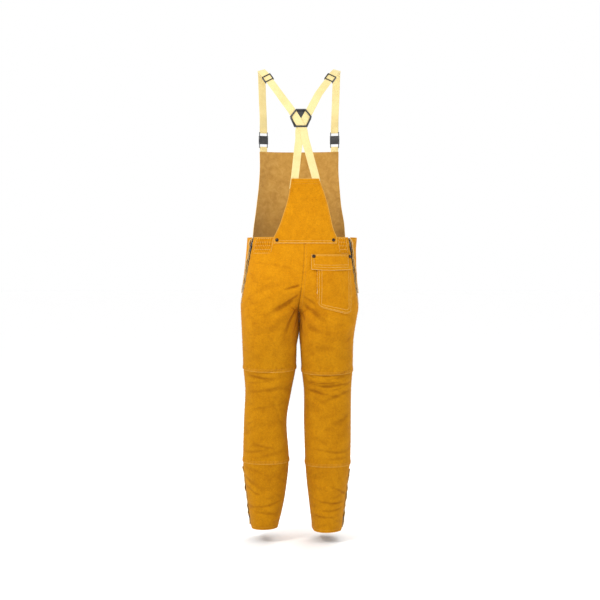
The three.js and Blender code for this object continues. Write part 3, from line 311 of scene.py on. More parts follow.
# Sharp creases: as FOLDS, but a negative distance is taken from the inseam or centre seam, and the last
# number bends the crease's ends up.
CREASES = {
    (LEFT, BACK): [
        (-26, 74, 14, 26, 4.5, -5, 0), (-34, 30, 34, 44, 4, -3.4, 0), (-52, 4, 46, 46, 4.5, -3, 0),
        (-40, -34, 58, 44, 5, -2.6, 0), (110, -206, 6, 70, 4, -2, 0.002), (100, -222, -6, 60, 4, -1.8, 0.002),
        (90, -462, 8, 52, 4, -2, 0.002), (120, -446, -12, 46, 4.5, -1.8, 0.001),
        (60, -590, -24, 46, 4, -2, 0),
        (110, -640, 10, 50, 4, -1.9, 0.002), (90, -664, -8, 50, 3.6, -1.8, 0.002),
        (80, -238, 5, 50, 3.6, -1.4, 0.002),
    ],
    (RIGHT, BACK): [
        (-30, 40, 30, 34, 4, -3.2, 0), (-44, 6, 44, 46, 4.5, -3, 0), (-36, -36, 56, 46, 5, -2.6, 0),
        (118, -206, -4, 76, 3.2, -3.0, 0.0028), (126, -218, 3, 70, 3, -3.0, 0.0026),
        (112, -230, -6, 74, 3.2, -3.0, 0.0024),
        (130, -241, 4, 60, 3, -2.6, 0.0022), (100, -253, -10, 56, 3.4, -2.4, 0.002),
        (150, -262, 14, 44, 3.4, -2, 0.001),
        (110, -455, 6, 56, 4, -1.9, 0.002), (80, -476, -8, 46, 4, -1.7, 0.001), (60, -585, 20, 46, 4, -2, 0),
        (100, -622, 6, 54, 3.8, -1.9, 0.002), (80, -646, -8, 50, 3.6, -1.9, 0.002),
        (110, -668, 4, 50, 3.4, -1.7, 0.002),
    ],
    (LEFT, FRONT): [
        (-30, 40, 32, 40, 4, -3, 0), (-50, 4, 44, 50, 4.5, -2.8, 0), (90, -640, 6, 56, 4, -2.2, 0.002),
        (100, -664, -6, 56, 4, -2, 0.002),
    ],
    (RIGHT, FRONT): [
        (-30, 36, 32, 40, 4, -3, 0), (-50, 0, 44, 50, 4.5, -2.8, 0), (90, -636, 6, 56, 4, -2.2, 0.002),
        (100, -660, -6, 56, 4, -2, 0.002),
    ],
}


def scattered_folds(seed, count, width, tallest):
    """Small creases spread over a leg by a fixed seed."""
    pick = np.random.default_rng(seed)
    rows = []
    for _ in range(count):
        rows.append((
            pick.uniform(20, 250), pick.uniform(-719, 220), pick.normal(0, 26), pick.uniform(18, 46),
            pick.uniform(*width), pick.choice([-1, 1]) * pick.uniform(0.3, 1) * tallest,
        ))
    return rows


def folds_of(side, face):
    seed = 10 * (side + 2) + face
    nicks = scattered_folds(seed, 110, (3.5, 8), 0.9)
    swells = scattered_folds(seed + 5, 60, (12, 24), 1.5)
    return FOLDS[side, face] + CREASES[side, face] + nicks + swells


def fold_height(side, face, s, z, girth):
    """How far the folds lift the leather at a distance s from the side seam and a height z."""
    total = np.zeros(np.broadcast(s, z).shape)
    level = z - crotch(side)
    for at, height, angle, length, width, tall, *bow in folds_of(side, face):
        turn = math.radians(angle)
        ds, dz = s - (at if at > 0 else girth + at), level - height
        lengthwise = ds * math.cos(turn) + dz * math.sin(turn)
        bend = (bow[0] if bow else FOLD_BOW) * lengthwise ** 2
        crosswise = -ds * math.sin(turn) + dz * math.cos(turn) - bend
        total += tall / np.cosh(crosswise / width) ** 2 * np.exp(-((lengthwise / length) ** 2))
    to_inseam = np.where(level > 20, 14, 34)
    total *= FOLD_DEPTH * smoothstep(s, 2, 38) * smoothstep((girth - s) / to_inseam, 0, 1)
    total *= 1 - 0.9 * smoothstep(z, WAIST_Z - 90, WAIST_Z - 30)
    return total


def pucker(distance_to_seam, run, tall=0.45):
    """Small ripples that a row of stitches pulls into the leather beside it."""
    wave = np.sin(run * 0.62 + 1.7 * np.sin(run * 0.11)) + 0.6 * np.sin(run * 0.31 + 2)
    return tall * wave * np.exp(-((distance_to_seam / 9) ** 2))


OUT_OF_REACH = 999  # a distance that rules a place out


def casing_edge(side):
    """The distance from the side seam at which the gathered waist ends, at the back bib's edge."""
    x = BACK_BIB["middle"] + side * BACK_BIB["right"][-1][1]
    points = half_section(side, BACK, WAIST_Z - 20)
    in_front = points[:, 1] > 0
    near = np.argmin(np.abs(points[:, 0] - x) + in_front * OUT_OF_REACH)
    return lengths_along(points[: near + 1])[-1]


CASING = {side: (14, casing_edge(side) - 3) for side in (LEFT, RIGHT)}


def gathers(side, s, z):
    """The ripples of the elastic waist, with the rows of stitches that hold them down."""
    low, high = CASING[side]
    inside = smoothstep(s, low - 3, low + 2) * (1 - smoothstep(s, high - 2, high + 3))
    down = WAIST_Z - z
    fade = smoothstep(down, 1, 5) * (1 - 0.75 * smoothstep(down, CASING_HEIGHT - 4, CASING_HEIGHT + 2))
    fade *= 1 - smoothstep(down, CASING_HEIGHT, CASING_HEIGHT + 30)
    ripple = np.abs(np.sin(s * 0.47 + 0.8 * np.sin(z * 0.09) + 0.5 * np.sin(s * 0.13)))
    rows = 0.45 * np.exp(-(((down + 2) % 11.5 - 5.75) / 1.1) ** 2) * (down < CASING_HEIGHT)
    return inside * fade * (2.6 * ripple - 0.9 - rows)


def stand_off(side, face, s, z, girth):
    """The whole displacement of the trousers' surface."""
    total = fold_height(side, face, s, z, girth)
    for seam in (KNEE_SEAM, CALF_SEAM):
        total += pucker(np.abs(z - crotch(side) + seam), s)
    total += pucker(np.minimum(np.abs(s - ZIP_EDGE), np.abs(girth - s)), z, 0.3)
    # The groove of the centre seams.
    total -= 1.2 * np.exp(-(((girth - s) / 2.4) ** 2)) * smoothstep(z - crotch(side), 10, 60)
    # The edges wander beside the zips, and the hem wanders too.
    on_zip = 1 - smoothstep(np.abs(z - (WAIST_Z - 100)), 90, 125) + smoothstep(hem(side) + 215 - z, 0, 20)
    total += on_zip * 0.9 * np.sin(z * 0.24 + 1.3 * np.sin(z * 0.07)) * np.exp(-((s / 11) ** 2))
    total += 1.6 * np.sin(s * 0.055 + side) * np.exp(-(((z - hem(side)) / 20) ** 2)) * smoothstep(s, 4, 30)
    if face == BACK:
        total += gathers(side, s, z)
    return total


# ---------------- meshes

def spread(total, step, fine=(0.0, 0.7, 2.2, 4.5)):
    """Places from 0 to total, closer together near both ends."""
    middle = np.linspace(fine[-1], total - fine[-1], max(2, round((total - 2 * fine[-1]) / step) + 1))
    return np.concatenate([fine[:-1], middle, total - np.array(fine[:-1])[::-1]])


def unit(vectors):
    return vectors / (np.linalg.norm(vectors, axis=-1, keepdims=True) + 1e-9)


def normals_of(grid, outwards):
    """Unit normals of a grid of points, on the side that the vector outwards shows at its middle."""
    down, across = np.gradient(grid, axis=(0, 1))
    n = unit(np.cross(down, across))
    centre = n[n.shape[0] // 2, n.shape[1] // 2]
    return n if np.dot(centre, outwards) > 0 else -n


def shell_faces(rows, columns, turned=False):
    """Faces of a closed shell, given as a grid of outer points and then the same grid of inner ones: the
    outer faces, the inner faces and the rim's."""
    count = rows * columns
    index = np.arange(count).reshape(rows, columns)
    outer = np.stack([index[:-1, :-1], index[:-1, 1:], index[1:, 1:], index[1:, :-1]], 2).reshape(-1, 4)
    loop = np.concatenate([index[0, :], index[1:, -1], index[-1, -2::-1], index[-2:0:-1, 0]])
    ahead = np.roll(loop, -1)
    rim = np.stack([ahead, loop, loop + count, ahead + count], 1)
    if turned:
        outer, rim = outer[:, ::-1], rim[:, ::-1]
    return [list(map(tuple, part.tolist())) for part in (outer, outer[:, ::-1] + count, rim)]


def tube_faces(rings, corners, base=0):
    """Faces of a capped tube through rings of points, the first of which has the number base."""
    faces = []
    for start in range(base, base + (rings - 1) * corners, corners):
        for i in range(corners):
            j = (i + 1) % corners
            faces.append((start + i, start + j, start + corners + j, start + corners + i))
    last = base + (rings - 1) * corners
    return faces + [tuple(range(base, base + corners))[::-1], tuple(range(last, last + corners))]


def new_object(name, points, faces, materials, body, attributes=None, face_slots=None):
    mesh = bpy.data.meshes.new(name)
    mesh.from_pydata((np.asarray(points) * MM).tolist(), [], faces)
    for material in materials:
        mesh.materials.append(material)
    if face_slots is not None:
        mesh.polygons.foreach_set("material_index", face_slots)
    for key, values in (attributes or {}).items():
        mesh.attributes.new(key, "FLOAT", "POINT").data.foreach_set("value", np.asarray(values, np.float32))
    mesh.update()
    mesh.shade_smooth()
    mesh.set_sharp_from_angle(angle=math.radians(SMOOTH_ANGLE))
    made = bpy.data.objects.new(name, mesh)
    bpy.context.scene.collection.objects.link(made)
    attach(made, body)
    return made


def blurred(values, times):
    """A grid of values, each averaged with its neighbours some times over."""
    for _ in range(times):
        for axis in (0, 1):
            wide = np.concatenate([values.take([0], axis), values, values.take([-1], axis)], axis)
            n = values.shape[axis]
            values = sum(wide.take(range(k, n + k), axis) * w for k, w in ((0, 0.25), (1, 0.5), (2, 0.25)))
    return values


RIM_WIDTH = 0.8  # how far the paleness of a cut edge reaches into the leather
CREASE_RANGE = 3.4  # the relief, hollow to crest, that takes the colour from the darkest painted shade to the palest painted highlight


def leather_sheet(name, grid, outwards, body, replaced=(), rims=(1, 1, 1, 1), thick=LEATHER, relief=None):
    """A sheet of leather: grid is its outer face, and rims tells which of its edges (top, bottom, first and
    last column) are cut edges that show. relief, when given, is painted into the colour as painted shade in
    its hollows and painted highlight on its crests."""
    rows, columns, _ = grid.shape
    normal = normals_of(grid, outwards)
    points = np.concatenate([grid.reshape(-1, 3), (grid - normal * thick).reshape(-1, 3)])
    first_face = np.cross(grid[0, 1] - grid[0, 0], grid[1, 1] - grid[0, 0])
    outer, inner, rim_faces = shell_faces(rows, columns, np.dot(first_face, normal[0, 0]) < 0)
    slots = [0] * len(outer) + [2] * len(inner) + [1] * len(rim_faces)
    down = lengths_along(grid[:, columns // 2])[:, None]
    across = lengths_along(grid[rows // 2])[None, :]
    from_edges = np.broadcast_arrays(down, down[-1] - down, across, across[0, -1] - across)
    near = np.min([e if show else np.full_like(e, OUT_OF_REACH) for e, show in zip(from_edges, rims)], axis=0)
    rim = np.exp(-((near / RIM_WIDTH) ** 2)).reshape(-1)
    painted_crease_shading = np.full(rim.shape, 0.5)
    # Painted shade and highlight: where the relief lies below its blurred copy the colour is darkened, where
    # it stands above it the colour is lightened.
    if relief is not None:
        painted_crease_shading = np.clip(0.5 + (blurred(relief, 8) - relief) / CREASE_RANGE, 0, 1).reshape(-1)
    made = new_object(
        name, points, outer + inner + rim_faces,
        [LOOK["leather"], LOOK["raw_edge"], LOOK["suede_back"]], body,
        {"rim": np.tile(rim, 2), "painted_crease_shading": np.tile(painted_crease_shading, 2)}, slots,
    )
    if replaced:
        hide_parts(*replaced)
    return made


STITCHES = {}


def stitch(body, grid, normal, places, look="thread", lift=0.15):
    """Rows of stitches on a sheet; each of places picks a row or a column out of its grid."""
    for place in places:
        stitch_along(body, grid[place], normal[place], look, lift)


def row_near(heights, z):
    return int(np.argmin(np.abs(heights - z)))


def at_waist(top):
    return top > WAIST_Z - 5


def stitch_along(body, points, normals, look="thread", lift=0.15):
    """Adds a row of stitches to a body, along points on a surface."""
    points, normals = np.asarray(points, float), np.asarray(normals, float)
    reached = lengths_along(points)
    count = max(1, int(reached[-1] / STITCH["pitch"]))
    middles = (np.arange(count) + 0.5) * reached[-1] / count
    half = STITCH["length"] / 2
    ahead = unit(read_at(middles + half, reached, points) - read_at(middles - half, reached, points))
    out = unit(read_at(middles, reached, normals))
    places = read_at(middles, reached, points) + out * lift
    STITCHES.setdefault((body, look), []).append((places, ahead, out))


def build_stitches():
    """One mesh of all stitches on each body: each a small bent capsule of thread."""
    stations = [(-0.5, 0.25, -0.5), (-0.36, 0.85, 0.1), (0, 1, 0.35), (0.36, 0.85, 0.1), (0.5, 0.25, -0.5)]
    sides = 6
    ring = [(math.cos(a), math.sin(a)) for a in np.linspace(0, 2 * math.pi, sides + 1)[:-1]]
    for (body, look), rows in STITCHES.items():
        at, ahead, out = (np.concatenate([row[k] for row in rows]) for k in range(3))
        side = np.cross(ahead, out)
        parts = []
        for place, size, lift in stations:
            for c, s in ring:
                shift = ahead * place * STITCH["length"] + side * c * STITCH["radius"] * size
                parts.append(at + shift + out * STITCH["radius"] * (s * size * 0.8 + lift))
        points = np.stack(parts, 1).reshape(-1, 3)
        faces = []
        for base in range(0, len(points), len(parts)):
            faces += tube_faces(len(stations), sides, base)
        new_object(f"stitching_{look}_{body}", points, faces, [LOOK[look]], body)


# ---------------- materials

def node_material(name):
    material = bpy.data.materials.new(name)
    material.use_nodes = True
    tree = material.node_tree
    return material, tree, tree.nodes["Principled BSDF"]


def add_node(tree, kind, inputs=None, **settings):
    made = tree.nodes.new(kind)
    for key, value in settings.items():
        setattr(made, key, value)
    for key, value in (inputs or {}).items():
        made.inputs[key].default_value = value
    return made


def object_coords(tree):
    return add_node(tree, "ShaderNodeTexCoord").outputs["Object"]


def noise(tree, coords, scale, detail=4, rough=0.55, distortion=0.0):
    made = add_node(tree, "ShaderNodeTexNoise",
                    {"Scale": scale, "Detail": detail, "Roughness": rough, "Distortion": distortion})
    tree.links.new(coords, made.inputs["Vector"])
    return made.outputs["Fac"]


def ramp(tree, source, stops):
    made = add_node(tree, "ShaderNodeValToRGB")
    elements = made.color_ramp.elements
    while len(elements) < len(stops):
        elements.new(0.5)
    for element, (position, colour) in zip(elements, stops):
        element.position = position
        element.color = (*colour, 1)
    tree.links.new(source, made.inputs["Fac"])
    return made.outputs["Color"]


def blend_colour(tree, a, b, share, mode="MIX"):
    made = add_node(tree, "ShaderNodeMix", data_type="RGBA", blend_type=mode)
    for socket, value in ((made.inputs[6], a), (made.inputs[7], b), (made.inputs[0], share)):
        if isinstance(value, bpy.types.NodeSocket):
            tree.links.new(value, socket)
        else:
            socket.default_value = value if not isinstance(value, tuple) or len(value) == 4 else (*value, 1)
    return made.outputs[2]


def attribute(tree, name):
    return add_node(tree, "ShaderNodeAttribute", attribute_name=name).outputs["Fac"]


def scaled(tree, source, factor):
    made = add_node(tree, "ShaderNodeMath", {1: factor}, operation="MULTIPLY")
    tree.links.new(source, made.inputs[0])
    return made.outputs[0]


def set_inputs(shader, **values):
    """Sets constants of the shader; Some_Name stands for its socket Some Name."""
    for key, value in values.items():
        shader.inputs[key.replace("_", " ")].default_value = value


def added(tree, a, b):
    made = add_node(tree, "ShaderNodeMath", operation="ADD")
    tree.links.new(a, made.inputs[0])
    tree.links.new(b, made.inputs[1])
    return made.outputs[0]


def bump(tree, shader, height, distance, strength=1.0):
    made = add_node(tree, "ShaderNodeBump", {"Strength": strength, "Distance": distance})
    tree.links.new(height, made.inputs["Height"])
    tree.links.new(made.outputs["Normal"], shader.inputs["Normal"])


def leather_material():
    """Napped golden split cowhide: cloudy colour, painted shade that darkens it down the legs, short nap,
    painted shade in the creases and painted highlight on their crests, and pale where it is rubbed or cut."""
    material, tree, shader = node_material("golden_split_leather")
    coords = object_coords(tree)
    clouds = ramp(tree, noise(tree, coords, 9, 5, 0.6, 0.6), [
        (0.30, (0.46, 0.165, 0.0010)), (0.5, (0.565, 0.222, 0.0018)), (0.70, (0.63, 0.258, 0.0035))])
    patches = ramp(tree, noise(tree, coords, 38, 7, 0.7, 0.25), [
        (0.26, (0.43, 0.150, 0.0010)), (0.50, (0.565, 0.222, 0.0018)), (0.76, (0.68, 0.290, 0.0060))])
    colour = blend_colour(tree, clouds, patches, 0.5)
    blots = ramp(tree, noise(tree, coords, 150, 5, 0.7, 0.4), [
        (0.32, (0.84, 0.80, 0.76)), (0.5, (1.0, 1.0, 1.0)), (0.7, (1.10, 1.12, 1.2))])
    colour = blend_colour(tree, colour, blots, 0.75, "MULTIPLY")
    # Painted shade: the leather darkens towards the hems, standing in for light that falls from above.
    place = add_node(tree, "ShaderNodeSeparateXYZ")
    tree.links.new(coords, place.inputs[0])
    low = add_node(tree, "ShaderNodeMapRange",
                   {"From Min": -0.66, "From Max": -0.95, "To Min": 0.0, "To Max": 1.0})
    tree.links.new(place.outputs["Z"], low.inputs["Value"])
    painted_low_shade = blend_colour(tree, colour, (0.77, 0.80, 0.75), 1.0, "MULTIPLY")
    colour = blend_colour(tree, colour, painted_low_shade, low.outputs[0])
    nap = noise(tree, coords, 1500, 3, 0.7)
    fibres = noise(tree, coords, 420, 5, 0.65, 0.4)
    specks = ramp(tree, added(tree, scaled(tree, nap, 0.5), scaled(tree, fibres, 0.5)), [
        (0.34, (0.60, 0.60, 0.60)), (0.5, (1.0, 1.0, 1.0)), (0.68, (1.22, 1.18, 1.08))])
    colour = blend_colour(tree, colour, specks, 0.8, "MULTIPLY")
    # Painted shade in the hollows of the folds and painted highlight on their crests.
    shade = ramp(tree, attribute(tree, "painted_crease_shading"), [
        (0.1, (1.07, 1.07, 1.1)), (0.5, (1.0, 1.0, 1.0)), (0.95, (0.66, 0.58, 0.52))])
    colour = blend_colour(tree, colour, shade, 1.0, "MULTIPLY")
    worn = scaled(tree, attribute(tree, "rim"), 0.7)
    colour = blend_colour(tree, colour, (0.80, 0.48, 0.12), worn)
    tree.links.new(colour, shader.inputs["Base Color"])
    set_inputs(shader, Roughness=0.93, Specular_IOR_Level=0.1, Sheen_Weight=0.12, Sheen_Roughness=0.5,
               Sheen_Tint=(1.0, 0.6, 0.15, 1))
    creases = noise(tree, coords, 120, 4, 0.6, 0.5)
    coarse = added(tree, scaled(tree, fibres, 0.5), scaled(tree, creases, 0.9))
    height = added(tree, scaled(tree, nap, 0.25), coarse)
    bump(tree, shader, height, 0.0011, 0.75)
    return material


def raw_edge_material():
    """The cut edge of the split: pale, fibrous."""
    material, tree, shader = node_material("raw_cut_edge")
    coords = object_coords(tree)
    colour = ramp(tree, noise(tree, coords, 500, 5, 0.7), [
        (0.3, (0.66, 0.40, 0.13)), (0.55, (0.84, 0.60, 0.28)), (0.8, (0.93, 0.76, 0.48))])
    tree.links.new(colour, shader.inputs["Base Color"])
    set_inputs(shader, Roughness=0.97)
    bump(tree, shader, noise(tree, coords, 900, 4, 0.7), 0.0008)
    return material


def suede_back_material():
    """The inner face of the split: paler and hairier than the outer one."""
    material, tree, shader = node_material("suede_back")
    coords = object_coords(tree)
    colour = ramp(tree, noise(tree, coords, 60, 6, 0.65, 0.5), [
        (0.3, (0.40, 0.19, 0.025)), (0.55, (0.50, 0.26, 0.045)), (0.8, (0.58, 0.33, 0.08))])
    tree.links.new(colour, shader.inputs["Base Color"])
    set_inputs(shader, Roughness=0.98, Sheen_Weight=0.35)
    bump(tree, shader, noise(tree, coords, 900, 4, 0.7), 0.001)
    return material


def thread_material(name, dark, light):
    material, tree, shader = node_material(name)
    coords = object_coords(tree)
    colour = ramp(tree, noise(tree, coords, 2500, 2), [(0.3, dark), (0.6, light)])
    tree.links.new(colour, shader.inputs["Base Color"])
    set_inputs(shader, Roughness=0.7)
    return material


ROW_PITCH = 1.1  # of the weave's cross rows, in millimetres


def webbing_material(name, pale, shade, rib_pitch, sheen=0.2):
    """Elastic webbing: ribs along it and the fine cross rows of the weave."""
    material, tree, shader = node_material(name)
    run, across = attribute(tree, "run"), attribute(tree, "across")
    place = add_node(tree, "ShaderNodeCombineXYZ")
    tree.links.new(run, place.inputs["X"])
    tree.links.new(across, place.inputs["Y"])
    waves = []
    for pitch, distortion, direction in ((rib_pitch, 0.25, "Y"), (ROW_PITCH, 0.5, "X")):
        wave = add_node(tree, "ShaderNodeTexWave",
                        {"Scale": 2 * math.pi / pitch / 20, "Distortion": distortion, "Detail": 1.0},
                        bands_direction=direction, wave_profile="SIN")
        tree.links.new(place.outputs[0], wave.inputs["Vector"])
        waves.append(wave.outputs["Fac"])
    weave = added(tree, scaled(tree, waves[0], 0.65), scaled(tree, waves[1], 0.35))
    colour = ramp(tree, weave, [(0.15, shade), (0.6, pale)])
    coords = object_coords(tree)
    soil = ramp(tree, noise(tree, coords, 30, 4), [(0.35, (0.9, 0.86, 0.76)), (0.6, (1, 1, 1))])
    tree.links.new(blend_colour(tree, colour, soil, 0.6, "MULTIPLY"), shader.inputs["Base Color"])
    set_inputs(shader, Roughness=0.8, Specular_IOR_Level=0.2 if sheen else 0.03, Sheen_Weight=sheen)
    bump(tree, shader, weave, 0.0003, 0.7)
    return material


def moulded_material(name, dark, light, roughness, grain, metallic=0.0, specular=0.5):
    """Moulded plastic or cast metal: slightly uneven gloss and a fine surface grain."""
    material, tree, shader = node_material(name)
    coords = object_coords(tree)
    tone = noise(tree, coords, 160, 4, 0.6)
    tree.links.new(ramp(tree, tone, [(0.35, dark), (0.65, light)]), shader.inputs["Base Color"])
    gloss = ramp(tree, noise(tree, coords, 420, 3), [
        (0.3, (roughness - 0.08,) * 3), (0.7, (roughness + 0.1,) * 3)])
    tree.links.new(gloss, shader.inputs["Roughness"])
    set_inputs(shader, Metallic=metallic, Specular_IOR_Level=specular)
    bump(tree, shader, noise(tree, coords, grain, 3), 0.0002, 0.5)
    return material


LOOK = {
    "leather": leather_material(),
    "raw_edge": raw_edge_material(),
    "suede_back": suede_back_material(),
    "thread": thread_material("pale_thread", (0.60, 0.36, 0.07), (0.80, 0.54, 0.17)),
    "gold": thread_material("golden_thread", (0.50, 0.20, 0.004), (0.62, 0.28, 0.012)),
    "webbing": webbing_material("brace_webbing", (0.86, 0.73, 0.36), (0.66, 0.52, 0.22), 1.7),
    "elastic": webbing_material("waist_elastic", (0.80, 0.74, 0.60), (0.60, 0.53, 0.40), 2.0),
    "tape": webbing_material("zip_tape", (0.010, 0.010, 0.011), (0.004, 0.004, 0.004), 1.4, 0.0),
    "teeth": moulded_material("zip_teeth", (0.004, 0.004, 0.005), (0.010, 0.010, 0.011), 0.5, 900, 0.0, 0.12),
    "plastic": moulded_material("moulded_hardware", (0.016, 0.017, 0.019), (0.036, 0.037, 0.040), 0.42, 1100),
    "metal": moulded_material("zip_metal", (0.10, 0.10, 0.105), (0.20, 0.20, 0.21), 0.34, 900, 0.9),
    "bronze": moulded_material("stud_bronze", (0.020, 0.013, 0.009), (0.075, 0.048, 0.030), 0.38, 700, 0.8),
}
LOOK["leather"].diffuse_color = (0.78, 0.48, 0.05, 1)

# ---------------- leather panels of the trousers

LAP = 3  # how far an upper panel reaches down over the seam at its sides
UNDER = 9  # how far the panel below goes up under it
LAP_RISE = 2.1  # how far its edge stands proud there
LAP_STITCHES = (3.5, 8.5)  # rows of stitches above a panel's lower edge
HEM_STITCHES = (9,)
CASING_STITCHES = (5, 16, 28, 40, 52)  # rows below the waist's edge
BIB_STITCHES = (3, 8)  # rows above a bib's lower edge


def edge_gap(side, z):
    """How far from the side seam the leather starts: wider where there is a zip."""
    hip = ZIP_LINES[side, "hip"][1][2]
    ankle = ZIP_LINES[side, "ankle"][0][2]
    opened = max(np.clip((z - hip) / 10 + 1, 0, 1), np.clip((ankle - z) / 10 + 1, 0, 1))
    return mix(SEAM_GAP / 2, ZIP_EDGE - 0.8, opened)


def trouser_grid(side, face, heights, shares, lift):
    """Points, distances and girths of a piece of the trousers' surface, with its folds."""
    points, distances, girths = [], [], []
    for z in heights:
        section = half_section(side, face, z)
        girth = walk(section, [0])[1]
        gap = edge_gap(side, z)
        s = gap + shares * (girth - gap - SEAM_GAP / 2)
        points.append(walk(section, s)[0])
        distances.append(s)
        girths.append(np.full_like(s, girth))
    points, s, girth = np.array(points), np.array(distances), np.array(girths)
    z = np.broadcast_to(np.array(heights)[:, None], s.shape)
    normal = normals_of(points, np.array([0, face, 0]))
    off = stand_off(side, face, s, z, girth)
    below = crotch(side) - z
    closing = smoothstep(below, -70, -10) * (1 - smoothstep(below, 70, 124))
    closing *= smoothstep(s, girth - 60, girth - 4)
    off = off * (1 - 0.92 * closing)
    moved = points + normal * (off + lift(z))[..., None]
    # The thighs press together under the crotch, so the inseams close the gap there.
    moved[..., 0] -= side * (along(INNER[side], z - CROTCH_Z) - 0.02) * closing
    return moved, s, z, girth, off


SEAM_SAG = {KNEE_SEAM: 9, CALF_SEAM: 3}  # how far each seam hangs lower at its middle


def sagged(heights, values, drop):
    """A grid whose rows, at the given heights, are drawn down by drop, which is one value for each place."""
    wanted = heights[:, None] - drop
    flat = values.reshape(values.shape[0], values.shape[1], -1)
    out = np.empty((len(heights),) + flat.shape[1:])
    for j in range(flat.shape[1]):
        for k in range(flat.shape[2]):
            out[:, j, k] = np.interp(-wanted[:, j], -extended(heights), flat[:, j, k])
    return out.reshape((len(heights),) + values.shape[1:])


def extended(heights):
    """Rows below the last one, for what a sagging seam needs to read."""
    return np.concatenate([heights, heights[-1] - np.array([2, 4, 6, 8, 10])])


def column_shares(side, face, top, bottom):
    girth = girth_at(side, face, (top + bottom) / 2)
    if face == BACK and at_waist(top):
        high = CASING[side][1]
        gathered, plain = np.arange(8, high + 8, 1.3), np.arange(high + 10, girth - 6, 4)
        ends = np.array([0, 0.7, 2.2, 4.5])
        return np.concatenate([ends, gathered, plain, girth - ends[::-1]]) / girth
    return spread(girth, GRID) / girth


def trouser_panel(side, face, top, bottom, name, rims):
    """One leather panel, lapped over the one below it where it has a lower seam."""
    lapped = bottom > hem(side) + 1
    low = bottom - LAP if lapped else bottom
    under = 0 if at_waist(top) else UNDER
    length = top + under - low
    heights = top + under - spread(length, GRID)

    def lift(z):
        return LAP_RISE * (1 - smoothstep(z, bottom, bottom + 20)) if lapped else 0 * z

    shares = column_shares(side, face, top, bottom)
    rows = extended(heights) if lapped else heights
    grid, s, z, girth, relief = trouser_grid(side, face, rows, shares, lift)
    if lapped:
        sag = SEAM_SAG[round(crotch(side) - bottom)]
        sag = sag * np.sin(math.pi * np.clip(s / girth, 0, 1))[: len(heights)]
        drop = sag * (1 - smoothstep(heights, low, bottom + 80))[:, None]
        grid, relief = sagged(heights, grid, drop), sagged(heights, relief, drop)
    outwards = np.array([0, face, 0])
    made = leather_sheet(f"leather_{name}", grid, outwards, "garment", [name], rims, relief=relief)
    normal = normals_of(grid, outwards)
    rows = LAP_STITCHES if lapped else HEM_STITCHES
    places = [np.s_[row_near(heights, low + above), 3:-3] for above in rows]
    places.append(np.s_[3:-3, row_near(s[len(heights) // 2], ZIP_EDGE + 4)])
    if side == RIGHT:
        places.append(np.s_[3:-3, -6])
    stitch("garment", grid, normal, places, "gold")
    if face == BACK and at_waist(top):
        casing_stitches(side, heights, s, grid, normal)


def casing_stitches(side, heights, s, grid, normal):
    """The stitched rectangle around the gathered waist, and the rows across it."""
    low, high = CASING[side]
    first, last = row_near(s[4], low + 4), row_near(s[4], high - 4)
    levels = [row_near(heights, WAIST_Z - down) for down in CASING_STITCHES]
    places = [np.s_[row, first:last] for row in levels]
    places += [np.s_[levels[0]:levels[-1], column] for column in (first, last)]
    stitch("garment", grid, normal, places, lift=0.3)


SIDE_NAME = {LEFT: "left", RIGHT: "right"}


def trousers():
    for side in (LEFT, RIGHT):
        knee, calf = crotch(side) - KNEE_SEAM, crotch(side) - CALF_SEAM
        for face, where in ((BACK, "back"), (FRONT, "front")):
            name = SIDE_NAME[side]
            trouser_panel(side, face, WAIST_Z, knee, f"{where}_thigh_{name}", (1, 1, 1, 0))
            trouser_panel(side, face, knee, calf, f"{where}_knee_{name}", (0, 1, 0, 0))
            trouser_panel(side, face, calf, hem(side), f"{where}_calf_{name}", (0, 1, 1, 0))


# ---------------- bibs, pocket and flap

def on_body(face, x, z, offset):
    """Points above the back or the front of the body for arrays of places."""
    across = (body_depth(face, x + 3, z) - body_depth(face, x - 3, z)) / 6
    up = (body_depth(face, x, z + 3) - body_depth(face, x, z - 3)) / 6
    out = np.stack([-across, np.ones_like(across), -up], -1) * face
    out /= np.linalg.norm(out, axis=-1, keepdims=True)
    return np.stack([x, body_depth(face, x, z), z], -1) + out * np.asarray(offset)[..., None]


def bib_waves(x, z, face):
    """Soft unevenness of a hanging bib."""
    wide = 1.1 * np.sin(x * 0.031 + z * 0.017 + face) * np.sin(z * 0.043 + 1.1)
    return wide + 0.5 * np.sin(x * 0.09 - z * 0.05)


def bib(face, name, height, left, right, offset):
    """A bib whose edges left and right give x by height above the waist, offset being its gap by height."""
    heights = WAIST_Z + height - spread(height + BIB_LAP, GRID)
    level = np.maximum(heights - WAIST_Z, 0)
    low, high = left(level), right(level)
    width = float(np.mean(high - low))
    shares = spread(width, GRID) / width
    x = low[:, None] + shares[None, :] * (high - low)[:, None]
    z = np.broadcast_to(heights[:, None], x.shape)
    off = offset(z) + LEATHER + LAYER_GAP + bib_waves(x, z, face) * smoothstep(z, WAIST_Z, WAIST_Z + 60)
    off = off + pucker(z - (WAIST_Z - BIB_LAP), x, 0.35)
    grid = on_body(face, x, z, off)
    outwards = np.array([0, face, 0])
    made = leather_sheet(f"leather_{name}", grid, outwards, "garment", [name], relief=off)
    normal = normals_of(grid, outwards)
    lower = [np.s_[row_near(heights, WAIST_Z - BIB_LAP + above), 2:-2] for above in BIB_STITCHES]
    stitch("garment", grid, normal, lower)
    stitch("garment", grid, normal, [np.s_[3:, 3], np.s_[3:, -4], np.s_[4, 3:-3], np.s_[6, 3:-3]], "gold")


def bibs():
    middle = BACK_BIB["middle"]
    bib(BACK, "back_bib", BACK_BIB["height"], lambda h: middle - along(BACK_BIB["left"], h),
        lambda h: middle + along(BACK_BIB["right"], h),
        lambda z: mix(LAYER_GAP, BACK_BIB["off_top"], np.clip((z - WAIST_Z - 20) / 118, 0, 1)))
    half = FRONT_BIB["half"]
    bib(FRONT, "front_bib", FRONT_BIB["height"], lambda h: -along(half, h), lambda h: along(half, h),
        lambda z: 0.6 + 0 * z)


